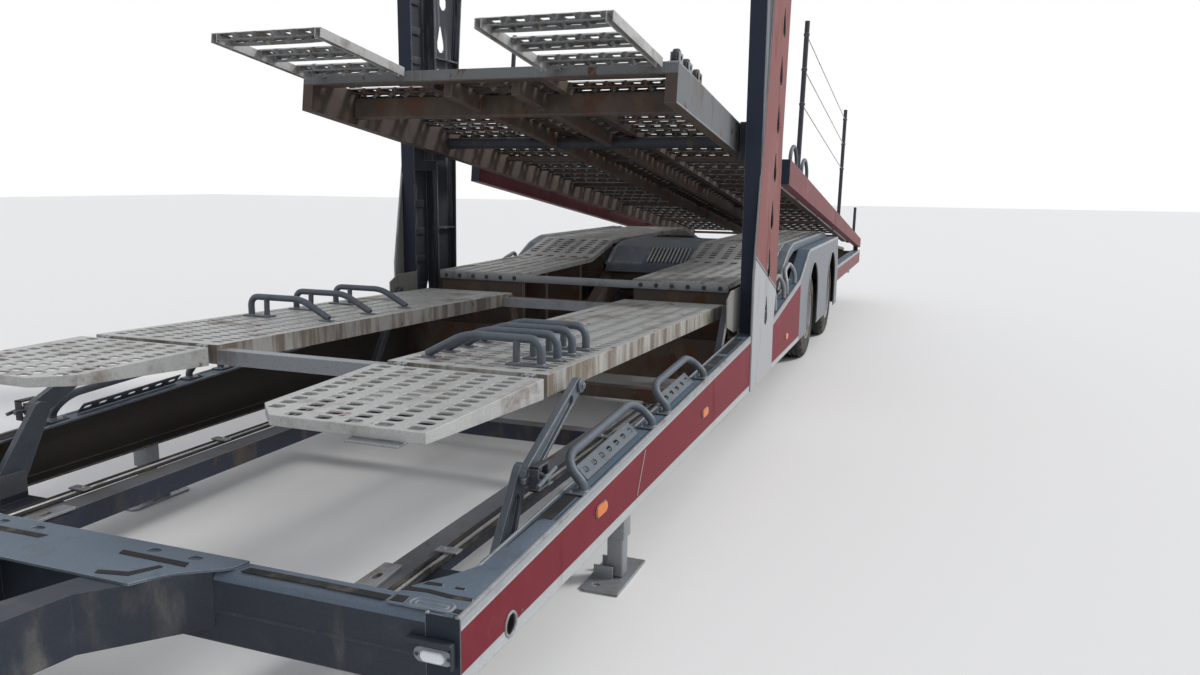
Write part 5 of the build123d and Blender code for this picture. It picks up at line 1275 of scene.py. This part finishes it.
def tyreProfile():
    # bead, bulging wall with a fitting line, rounded shoulder and grooved tread, mirrored about the middle
    radius, half, bead = wheels["radius"], wheels["half"], wheels["bead"]
    wall = [(bead, half - 0.014), (bead + 0.012, half - 0.008), (bead + 0.03, half - 0.003),
            (bead + 0.055, half), (bead + 0.062, half - 0.003), (bead + 0.09, half - 0.0015),
            (radius - 0.05, half - 0.006), (radius - 0.03, half - 0.012), (radius - 0.012, half - 0.022),
            (radius - 0.003, half - 0.032)]
    tread = [(radius - depth, middle + offset) for middle in reversed(wheels["grooves"])
             for depth, offset in ((0, 0.005), (0.011, 0.003), (0.011, -0.003), (0, -0.005))]
    return wall + tread + [(reach, -y) for reach, y in reversed(wall)]


def isNotch(face):
    # every other face along both shoulders
    middle = face.calc_center_median()
    turn = math.atan2(middle.z, middle.x) / math.tau * wheels["steps"]
    return (abs(middle.y) > wheels["half"] - 0.036
            and math.hypot(middle.x, middle.z) > wheels["radius"] - 0.022 and math.floor(turn) % 2)


def finishWheel(name, axle, side, bm, finish, replaced, smooth):
    place = Matrix.Translation(spot(wheels["axles"][axle], 0, wheels["radius"]))
    finishPiece("%s_%s_%s" % (name, axle, side), bm, "wheel_%s_%s" % (axle, side), finish,
                ["%s_%s_%s" % (replaced, axle, side)], smooth, place, side)


def makeTyres(axle, side):
    bm = bmesh.new()
    for y in (wheels["outerY"], wheels["outerY"] - wheels["spacing"]):
        one = spunRing(tyreProfile(), wheels["steps"])
        one.normal_update()
        bmesh.ops.inset_region(one, faces=[face for face in one.faces if isNotch(face)], thickness=0.003,
                               depth=-0.006)
        joinInto(bm, one, 0, Matrix.Translation((0, y, 0)))
    finishWheel("tyrePair", axle, side, bm, "rubber", "tyres", 38)


def makeRims(axle, side):
    bm = bmesh.new()
    outer, half, bead, spacing = wheels["outerY"], wheels["half"] - 0.014, wheels["bead"], wheels["spacing"]
    low, high = outer - half, outer + half
    dish = [(bead - 0.001, high - 0.004), (bead + 0.004, high + 0.001), (bead + 0.001, high + 0.006),
            (bead - 0.008, high + 0.004), (bead - 0.016, high - 0.012), (bead - 0.02, high - 0.035),
            (bead - 0.026, low + 0.06), (0.192, low + 0.032), (0.17, low + 0.018), (0.15, low + 0.012),
            (0.118, low + 0.02), (0.112, low + 0.03), (0.094, low + 0.03), (0.09, low + 0.035),
            (0.084, low + 0.11), (0.078, outer + 0.014), (0.066, outer + 0.019), (0.0, outer + 0.02)]
    inner = [(radius, y - spacing) for radius, y in
             ((bead - 0.001, low + 0.004), (bead + 0.004, low - 0.001), (bead - 0.008, low - 0.004),
              (bead - 0.018, low + 0.03), (bead - 0.024, high - 0.05), (0.15, high - 0.02),
              (0.145, high - 0.02), (0.145, low + spacing))]
    # back of the rim between the tyres
    barrel = [(bead - 0.001, low + 0.001), (bead - 0.001, high - spacing - 0.002)]
    for profile, steps in ((dish, 60), (inner, 40), (barrel, 40)):
        joinInto(bm, spunRing(profile, steps), 0)
    for index in range(wheels["nuts"]):
        angle = math.tau * index / wheels["nuts"]
        nut = Vector((math.cos(angle), 0, math.sin(angle))) * wheels["nutCircle"] + Vector((0, low, 0))
        addStub(bm, nut + Vector((0, 0.028, 0)), "Y", 0.024, 0.0125, 6, endRadius=0.0115, material=1)
        addStub(bm, nut + Vector((0, 0.05, 0)), "Y", 0.008, 0.0065, 10, material=1)
        # hand openings in the dish: dark discs of painted shade
        angle += wheels["handTurn"]
        hand = Vector((math.cos(angle), 0, math.sin(angle))) * wheels["handCircle"]
        hand.y = low + 0.019
        addStub(bm, hand, "Y", 0.0035, 0.021, 18, material=2)
    finishWheel("rimPair", axle, side, bm, ["rim", "bareSteel", "darkSteel"], "rims", 35)


for axle in wheels["axles"]:
    for side in sides:
        makeTyres(axle, side)
        makeRims(axle, side)
print("wheels ready")

# rear tracks over the wheels
rearTrack = {"bends": [(3.905, 0.905), (5.25, 0.915), (5.8, 1.04), (8.18, 1.04), (8.75, 0.9), (10.95, 0.69)],
             "inner": 0.405, "outer": 1.065, "edge": 0.034, "pitch": 0.06, "columns": 6, "holeAcross": 0.062,
             "holeAlong": 0.036, "corner": 0.011, "sheet": 0.005, "endMargin": 0.01, "margin": 0.012,
             "plainEvery": 8}


def makeRearTrack(side):
    # perforated sheet with folded edges, and a plain row now and then
    bends, pitch, margin = rearTrack["bends"], rearTrack["pitch"], rearTrack["margin"]
    start, end = bends[0][0], bends[-1][0]
    inner, outer = rearTrack["inner"], rearTrack["outer"]
    first = start + rearTrack["endMargin"]
    rows = int((end - start - 2 * rearTrack["endMargin"]) / pitch)
    bm, cells = marginSheet((first, first + rows * pitch), (inner + margin, outer - margin), rows,
                            rearTrack["columns"], (start, end), (inner, outer))
    addSkirt(bm, boundary(bm), rearTrack["edge"])
    every = rearTrack["plainEvery"]
    holed = [face for face in cells
             if int((face.calc_center_median().x - start) / pitch) % every != every - 1]
    punchHoles(bm, holed, (rearTrack["holeAlong"], rearTrack["holeAcross"], 0), rearTrack["corner"], 1)
    thicken(bm, rearTrack["sheet"])
    for vert in bm.verts:
        at = vert.co.x
        vert.co = spot(at, vert.co.y, vert.co.z + lineAt(bends, at))
    finishPiece("rearTrackPlate_" + side, bm, "chassis", "deckPlate", ["rear_track_" + side], side=side)


# guards over the tyres: smooth bent sheets with raised ribs; a sweep is in degrees up from the front
guards = {"radius": 0.566, "sheet": 0.004, "inner": halfWidth - 0.56, "outer": halfWidth - 0.11,
          "ribMargin": 0.04, "sweeps": {"front": (75, 156), "rear": (24, 105)}, "ribs": 5,
          "ribRadius": 0.008, "steps": 18, "ribSteps": 12}


def makeGuards():
    bm = bmesh.new()
    inner, outer, margin = guards["inner"], guards["outer"], guards["ribMargin"]
    radius = guards["radius"] + guards["sheet"] / 2
    for axle, at in wheels["axles"].items():
        first, last = guards["sweeps"][axle]
        x, z = radius * math.cos(math.radians(first)), radius * math.sin(math.radians(first))
        sheet = bmesh.new()
        ends = [sheet.verts.new((x, y, z)) for y in (inner, outer)]
        bmesh.ops.spin(sheet, geom=ends + [sheet.edges.new(ends)], cent=(0, 0, 0), axis=(0, 1, 0),
                       angle=-math.radians(last - first), steps=guards["steps"])
        thicken(sheet, guards["sheet"])
        joinInto(bm, sheet, 0, Matrix.Translation(spot(at, 0, wheels["radius"])))
        for index in range(guards["ribs"]):
            y = inner + margin + index * (outer - inner - 2 * margin) / (guards["ribs"] - 1)
            bow = arc((at, wheels["radius"]), radius + 0.004, first + 1, last - 1, guards["ribSteps"])
            addTube(bm, [spot(along, y, height) for along, height in bow], guards["ribRadius"], 0.04,
                    detail=1)
    mirrorOver(bm)
    finishPiece("wheelGuards", bm, "chassis", "blueGrey", smooth=35)


# pale bar with round openings along the rear tracks' front end, drawn as dark discs of painted shade
frontBar = {"at": 3.903, "depth": 0.016, "low": 0.845, "high": 0.897, "half": 1.06, "holes": 6,
            "radius": 0.017, "margin": 0.06}


def makeTrackBar():
    bm = bmesh.new()
    face, half, margin = frontBar["at"] - frontBar["depth"], frontBar["half"], frontBar["margin"]
    addBar(bm, spot(frontBar["at"], -half, frontBar["low"]), spot(face, half, frontBar["high"]), 0.005)
    holes = bmesh.new()
    for index in range(frontBar["holes"]):
        y = (rearTrack["inner"] + margin
             + index * (rearTrack["outer"] - rearTrack["inner"] - 2 * margin) / (frontBar["holes"] - 1))
        place = spot(face + 0.004, y, (frontBar["low"] + frontBar["high"]) / 2)
        addStub(holes, place, "X", 0.0048, frontBar["radius"], 16, material=1)
    mirrorOver(holes)
    joinInto(bm, holes)
    finishPiece("rearTrackBar", bm, "chassis", ["galvanised", "darkSteel"], smooth=35)


makeTrackBar()
for side in sides:
    makeRearTrack(side)
makeGuards()
print("rear tracks ready")

# arch trims, rings behind the columns and knobs at the rear
archTrim = {"edge": [(5.64, 0.775), (6.1, 0.985), (8.22, 0.985), (8.33, 0.66), (10.99, 0.66)],
            "radius": 0.009, "opening": 0.31, "openingTop": 0.86, "openingFoot": 0.29, "openingTrim": 0.006,
            "rings": [(4.62, 5.0, 0.19), (5.12, 5.5, 0.17)], "ringFoot": 1.235, "ringTop": 1.2,
            "ringRadius": 0.016, "knobAt": 10.93}


def makeArchTrim(side):
    bm = bmesh.new()
    addTube(bm, [spot(at, halfWidth - 0.016, z - 0.004) for at, z in archTrim["edge"]], archTrim["radius"],
            0.06)
    radius = archTrim["opening"] + 0.004
    middle, foot = archTrim["openingTop"] - archTrim["opening"], archTrim["openingFoot"]
    for at in wheels["axles"].values():
        path = [(at + radius, foot)] + arc((at, middle), radius, 180, 0, 12) + [(at - radius, foot)]
        addTube(bm, [spot(along, halfWidth - 0.006, z) for along, z in path], archTrim["openingTrim"], 0.05)
    # two bent rings that stand on the sill
    low, high = archTrim["ringFoot"], archTrim["ringTop"]
    for at0, at1, rise in archTrim["rings"]:
        z0, z1 = sillTop(at0), sillTop(at1)
        path = [(at0, low, z0 + 0.002), (at0, low, z0 + rise * 0.5), (at0 + 0.07, high, z0 + rise),
                (at1 - 0.07, high, z1 + rise), (at1, low, z1 + rise * 0.5), (at1, low, z1 + 0.002)]
        addTube(bm, spots(path), archTrim["ringRadius"], 0.08, material=2, detail=3)
    addStub(bm, spot(archTrim["knobAt"], halfWidth - 0.06, 0.655), "Z", 0.065, 0.03, 16, bevel=0.006,
            material=1)
    finishPiece("archTrim_" + side, bm, "chassis", ["galvanised", "rubber", "galvanised"], smooth=40,
                side=side)


# columns: bolts, folded front edge and rack behind the guide
columnTrim = {"bolts": [(0.72, 3.69), (1.02, 3.72), (1.6, 3.80), (2.2, 3.89), (2.8, 3.98)],
              "boltOffsets": (0.03, 0.09), "edgeBends": [(3.63, 0.3), (3.63, 0.97), (4.05, 3.2)],
              "rackAt": (3.82, 3.99), "rackLow": 0.75, "rackHigh": 3.1, "rackStep": 0.2,
              "web": halfWidth - 0.02}


def makeColumnTrim(side):
    bm = bmesh.new()
    edge = [(xAt(at) - 0.004, halfWidth - 0.0085, z) for at, z in columnTrim["edgeBends"]]
    addTube(bm, edge, 0.0075, 0.05)
    for height, at in columnTrim["bolts"]:
        for offset in columnTrim["boltOffsets"]:
            addStub(bm, spot(at + offset, halfWidth - 0.0075, height), "Y", 0.0065, 0.012, 6)
    # ladder-like rack on the guide's inner side
    (front, rear), web = columnTrim["rackAt"], columnTrim["web"]
    for index in range(int((columnTrim["rackHigh"] - columnTrim["rackLow"]) / columnTrim["rackStep"])):
        z = columnTrim["rackLow"] + index * columnTrim["rackStep"]
        addBar(bm, spot(rear, web - 0.004, z), spot(front, web - 0.016, z + 0.05), 0.004, material=1)
    finishPiece("columnTrim_" + side, bm, "chassis", ["galvanised", "darkSteel"], smooth=40, side=side)


for side in sides:
    makeArchTrim(side)
    makeColumnTrim(side)
print("arches and columns ready")

# upper deck: rounded beam ends, pulleys, round posts, ropes and hoops; x runs back from the deck's front end
upperTrim = {"beamOuter": halfWidth - 0.185, "beamWidth": 0.062, "depth": 0.2, "rearDepth": 0.118,
             "length": 8.55, "pulleys": (0.06, 0.24, 0.44), "pulleyHeight": 0.03, "slots": (1.22, 1.34),
             "postY": halfWidth - 0.035, "foot": -0.07, "posts": (2.9, 5.96), "lowPost": 7.83,
             "height": 1.15, "lowHeight": 0.33, "shares": (0.45, 0.68, 0.91), "hoops": (2.62, 3.2)}


def makeDeckTrim():
    bm = bmesh.new()
    outer, width, rear = upperTrim["beamOuter"], upperTrim["beamWidth"], -upperTrim["length"]
    edge, high = outer - 0.004, upperTrim["pulleyHeight"]
    # rounded nose on the beam's front end, and the beam's rounded edges
    addTube(bm, [(0.0005, outer - width + 0.004, -0.004), (0.0005, edge, -0.004)], 0.006)
    addTube(bm, [(-0.01, edge, -0.004), (rear, edge, -0.004)], 0.0055)
    addTube(bm, [(-0.01, edge, 0.006 - upperTrim["depth"]), (rear, edge, 0.006 - upperTrim["rearDepth"])],
            0.0055)
    middle = outer - width / 2
    for u in upperTrim["pulleys"]:
        addStub(bm, (-u, middle - 0.014, high), "Y", 0.028, 0.045, 20, bevel=0.004, material=1)
        addStub(bm, (-u, middle - 0.024, high), "Y", 0.048, 0.013, 6)
        for offset in (-0.024, 0.017):
            addBar(bm, (-u - 0.035, middle + offset, -0.001), (-u + 0.035, middle + offset + 0.007, 0.055),
                   0.003)
    # dark discs of painted shade stand for the slots
    for u in upperTrim["slots"]:
        addStub(bm, (-u, outer - 0.002, -0.093), "Y", 0.0035, 0.018, 16, material=1)
    mirrorOver(bm)
    finishPiece("deckTrim", bm, "upper_deck", ["galvanised", "darkSteel"], smooth=40, place=deckPlace)


def makePosts():
    bm, hoops = bmesh.new(), bmesh.new()
    y, foot, low = upperTrim["postY"], upperTrim["foot"], upperTrim["lowPost"]
    heights = [foot + upperTrim["height"] * share for share in upperTrim["shares"]]
    for u in upperTrim["posts"]:
        addTube(bm, [(-u, y, foot), (-u, y, foot + upperTrim["height"])], 0.019, detail=3)
        addStub(bm, (-u, y, foot), "Z", 0.014, 0.032, 20, bevel=0.003)
        for height in heights:
            addStub(bm, (-u, y, height - 0.009), "Z", 0.018, 0.023, 16, bevel=0.003)
    for height in heights:
        addTube(bm, [(-u, y, height) for u in reversed(upperTrim["posts"])], 0.0045, detail=1, material=1)
    addTube(bm, [(-low, y, foot), (-low, y, foot + upperTrim["lowHeight"])], 0.018, detail=3)
    addStub(bm, (-low, y, foot), "Z", 0.012, 0.032, 20, bevel=0.003)
    mirrorOver(bm)
    finishPiece("roundPosts", bm, "upper_deck", ["darkSteel", "bareSteel"], ["deck_posts"], 40, deckPlace)
    for u in upperTrim["hoops"]:
        path = [(u - 0.1, foot), (u - 0.1, foot + 0.08), (u, foot + 0.15), (u + 0.1, foot + 0.15),
                (u + 0.2, foot + 0.08), (u + 0.2, foot)]
        addTube(hoops, [(-along, y, height) for along, height in path], 0.014, 0.045, detail=3)
    mirrorOver(hoops)
    finishPiece("railHoops", hoops, "upper_deck", "hoopSteel", smooth=40, place=deckPlace)


makeDeckTrim()
makePosts()
print("upper deck trims ready")

# support legs, rear lamps and air springs
legs = {"at": 1.35, "y": halfWidth - 0.063, "half": 0.033, "footHalf": 0.175, "footInner": 0.095, "cut": 0.02,
        "footOuter": halfWidth - 0.001, "top": 0.27, "sleeve": 0.008, "sleeveLow": 0.17}


def makeLegs():
    bm = bmesh.new()
    at, y, half, top = legs["at"], legs["y"], legs["half"], legs["top"]
    wide = half + legs["sleeve"]
    addBar(bm, spot(at + half, y - half, 0.012), spot(at - half, y + half, top), 0.008, 3)
    addBar(bm, spot(at + wide, y - wide, legs["sleeveLow"]), spot(at - wide, y + wide, top), 0.006)
    inner, outer, half, cut = y - legs["footInner"], legs["footOuter"], legs["footHalf"], legs["cut"]
    outline = [(at - half, inner + cut), (at - half + cut, inner), (at + half - cut, inner),
               (at + half, inner + cut), (at + half, outer), (at - half, outer)]
    holes = [(xAt(at + offset), y - 0.045) for offset in (-0.12, 0.12)]
    addPlate(bm, laidOut(outline), 0.0, 0.01, holes, (0.03, 0.03), 0.012)
    for offset in (-0.05, 0.05):
        addBar(bm, spot(at + offset + 0.004, y, 0.01), spot(at + offset - 0.004, y - 0.08, 0.06), 0.002)
    mirrorOver(bm)
    finishPiece("legsWithFeet", bm, "chassis", "galvanised", ["support_legs"], 35)


rearLamps = {"face": 10.94, "depth": 0.05, "inner": 0.8, "outer": halfWidth - 0.145, "low": 0.375,
             "high": 0.465, "margin": 0.01, "gap": 0.003, "slots": (0, 1, 0)}


def makeRearLamps():
    bm = bmesh.new()
    face, inner, outer, margin = (rearLamps[key] for key in ("face", "inner", "outer", "margin"))
    low, high = rearLamps["low"], rearLamps["high"]
    addBar(bm, spot(face + 0.03, inner, low), spot(face, outer, high), 0.006, 3, material=2)
    width = (outer - inner - 2 * margin) / len(rearLamps["slots"])
    for index, slot in enumerate(rearLamps["slots"]):
        start = inner + margin + index * width
        addBar(bm, spot(face + rearLamps["depth"], start + rearLamps["gap"], low + 0.008),
               spot(face + 0.028, start + width - rearLamps["gap"], high - 0.008), 0.008, 3, material=slot)
    mirrorOver(bm)
    finishPiece("rearLampUnits", bm, "chassis", ["redLens", "amber", "darkSteel"], ["rear_lamps"], 35)


springs = {"behind": 0.3, "y": 0.49, "foot": 0.464, "height": 0.18, "radius": 0.0832, "folds": 3,
           "bulges": ((0.02, 0.82), (0.25, 0.97), (0.5, 1.0), (0.75, 0.97), (0.98, 0.82))}


def makeSprings():
    # bellows of the air springs
    bm = bmesh.new()
    height, folds = springs["height"], springs["folds"]
    wall = [(springs["radius"] * bulge, height * (fold + share) / folds) for fold in range(folds)
            for share, bulge in springs["bulges"]]
    for at in wheels["axles"].values():
        place = Matrix.Translation(spot(at + springs["behind"], springs["y"], springs["foot"]))
        joinInto(bm, spunRing([(0.0, 0.0)] + wall + [(0.0, height)], 24), 0,
                 place @ Matrix.Rotation(math.radians(90), 4, "X"))
    mirrorOver(bm)
    finishPiece("springBellows", bm, "chassis", "rubber", smooth=40)


makeLegs()
makeRearLamps()
makeSprings()
print("legs, lamps and springs ready")

# closed middle of the upper deck: narrow slats on long beams, and a deep member under its front end
middleDeck = {"half": 0.36, "columns": 5, "beams": (-0.2, 0.2), "beamHalf": 0.025, "top": -0.04,
              "depth": 0.09, "first": 0.09, "last": 8.2, "beamFront": 0.06, "memberAt": 0.42,
              "memberHalf": 0.03, "memberDepth": 0.12, "memberReach": 1.025}


def makeMiddleDeck():
    bm = bmesh.new()
    half, top = middleDeck["half"], middleDeck["top"]
    for index in range(int((middleDeck["last"] - slat["first"]) / slat["pitch"]) * 2):
        addSlat(bm, -middleDeck["first"] - index * slat["pitch"] / 2, -half, half, middleDeck["columns"])
    for y in middleDeck["beams"]:
        addBar(bm, (-middleDeck["last"], y - middleDeck["beamHalf"], top - middleDeck["depth"]),
               (-middleDeck["beamFront"], y + middleDeck["beamHalf"], top), 0.006, material=2)
    at, reach, width = middleDeck["memberAt"], middleDeck["memberReach"], middleDeck["memberHalf"]
    addBar(bm, (-at - width, -reach, top - middleDeck["memberDepth"]), (-at + width, reach, top - 0.004),
           0.006, material=2)
    finishPiece("middleSlats", bm, "upper_deck", ["deckPlate", "slatUnderShade", "shadedUnderDeck"], place=deckPlace)


# a tab under each lower flap
flapTab = {"rear": 0.72, "front": 0.775, "inner": 0.78, "outer": 0.96, "gap": 0.004, "thickness": 0.008}


def makeFlapTab(side):
    bm = bmesh.new()
    top = flap["top"] - flap["frontSkirt"] - flapTab["gap"]
    addBar(bm, (flapTab["rear"], flapTab["inner"], top - flapTab["thickness"]),
           (flapTab["front"], flapTab["outer"], top), 0.002)
    finishPiece("flapTab_" + side, bm, "lower_flap_" + side, "galvanised", smooth=35, place=flapPlaces[side],
                side=side)


makeMiddleDeck()
for side in sides:
    makeFlapTab(side)
print("middle deck and tabs ready")

# hood between the rear tracks, with a ribbed front, and the narrow hoods beside the tracks
hood = {"profile": [(5.45, 0.79), (5.5, 0.86), (5.74, 0.99), (5.95, 1.02), (6.7, 1.02), (6.95, 0.94),
                    (7.05, 0.79)],
        "half": 0.37, "bevel": 0.012, "grille": (-0.03, 0.33), "margin": 0.02, "ribs": 11, "ribHalf": 0.006,
        "edge": 0.02}
outerHood = {"top": [(5.2, 0.73), (5.32, 0.86), (5.62, 1.0), (5.86, 1.05), (7.9, 1.05), (8.15, 0.97)],
             "under": [(8.15, 0.75), (8.09, 0.75), (8.09, 0.91), (7.88, 0.98), (5.87, 0.98), (5.65, 0.93),
                       (5.38, 0.8), (5.28, 0.7)],
             "inner": 1.069, "outer": 1.162, "bevel": 0.01, "edge": 0.008}


def addShell(target, profile, low, high, bevel):
    # a closed body with a side profile of (at, height) points
    shell = bmesh.new()
    face = shell.faces.new([shell.verts.new(spot(at, low, z)) for at, z in profile])
    moved = newVerts(bmesh.ops.extrude_face_region(shell, geom=[face]))
    bmesh.ops.translate(shell, vec=(0, high - low, 0), verts=moved)
    bmesh.ops.recalc_face_normals(shell, faces=shell.faces)
    roundOff(shell, shell.edges[:], bevel, 3)
    joinInto(target, shell, 0)


def makeHood():
    bm = bmesh.new()
    half = hood["half"]
    addShell(bm, hood["profile"], -half, half, hood["bevel"])
    # ribbed opening on the sloping front, over a dark plate of painted shade
    start, end = (spot(at, 0, z) for at, z in hood["profile"][1:3])
    run = end - start
    slope = Matrix.Translation(start) @ run.to_track_quat("X", "Z").to_matrix().to_4x4()
    low, high = hood["margin"], run.length - hood["margin"]
    first, last = sorted((slope.inverted() @ (start + Vector((0, y, 0)))).y for y in hood["grille"])
    addBar(bm, (low, first, -0.004), (high, last, 0.003), 0.002, 1, slope, 2)
    for index in range(hood["ribs"]):
        y = first + (index + 0.5) * (last - first) / hood["ribs"]
        addBar(bm, (low, y - hood["ribHalf"], 0.002), (high, y + hood["ribHalf"], 0.016), 0.003, 2, slope, 1)
    for y in (half - 0.008, 0.008 - half):
        addTube(bm, [spot(at, y, z - 0.01) for at, z in hood["profile"][1:-1]], hood["edge"], 0.06,
                material=1)
    finishPiece("centreHood", bm, "chassis", ["blueGrey", "galvanised", "darkSteel"], smooth=35)


def makeOuterHood(side):
    # narrow hood between the rear track and the arch panel, with pale edges, clear of the tyres and
    # guards under it
    bm = bmesh.new()
    low, high, edge = outerHood["inner"], outerHood["outer"], outerHood["edge"]
    addShell(bm, outerHood["top"] + outerHood["under"], low, high, outerHood["bevel"])
    for y in (low + edge, high - edge):
        addTube(bm, [spot(at, y, z - 0.003) for at, z in outerHood["top"]], edge, 0.05, material=1)
    finishPiece("outerHood_" + side, bm, "chassis", ["blueGrey", "galvanised"], smooth=35, side=side)


makeHood()
for side in sides:
    makeOuterHood(side)
print("hoods ready")
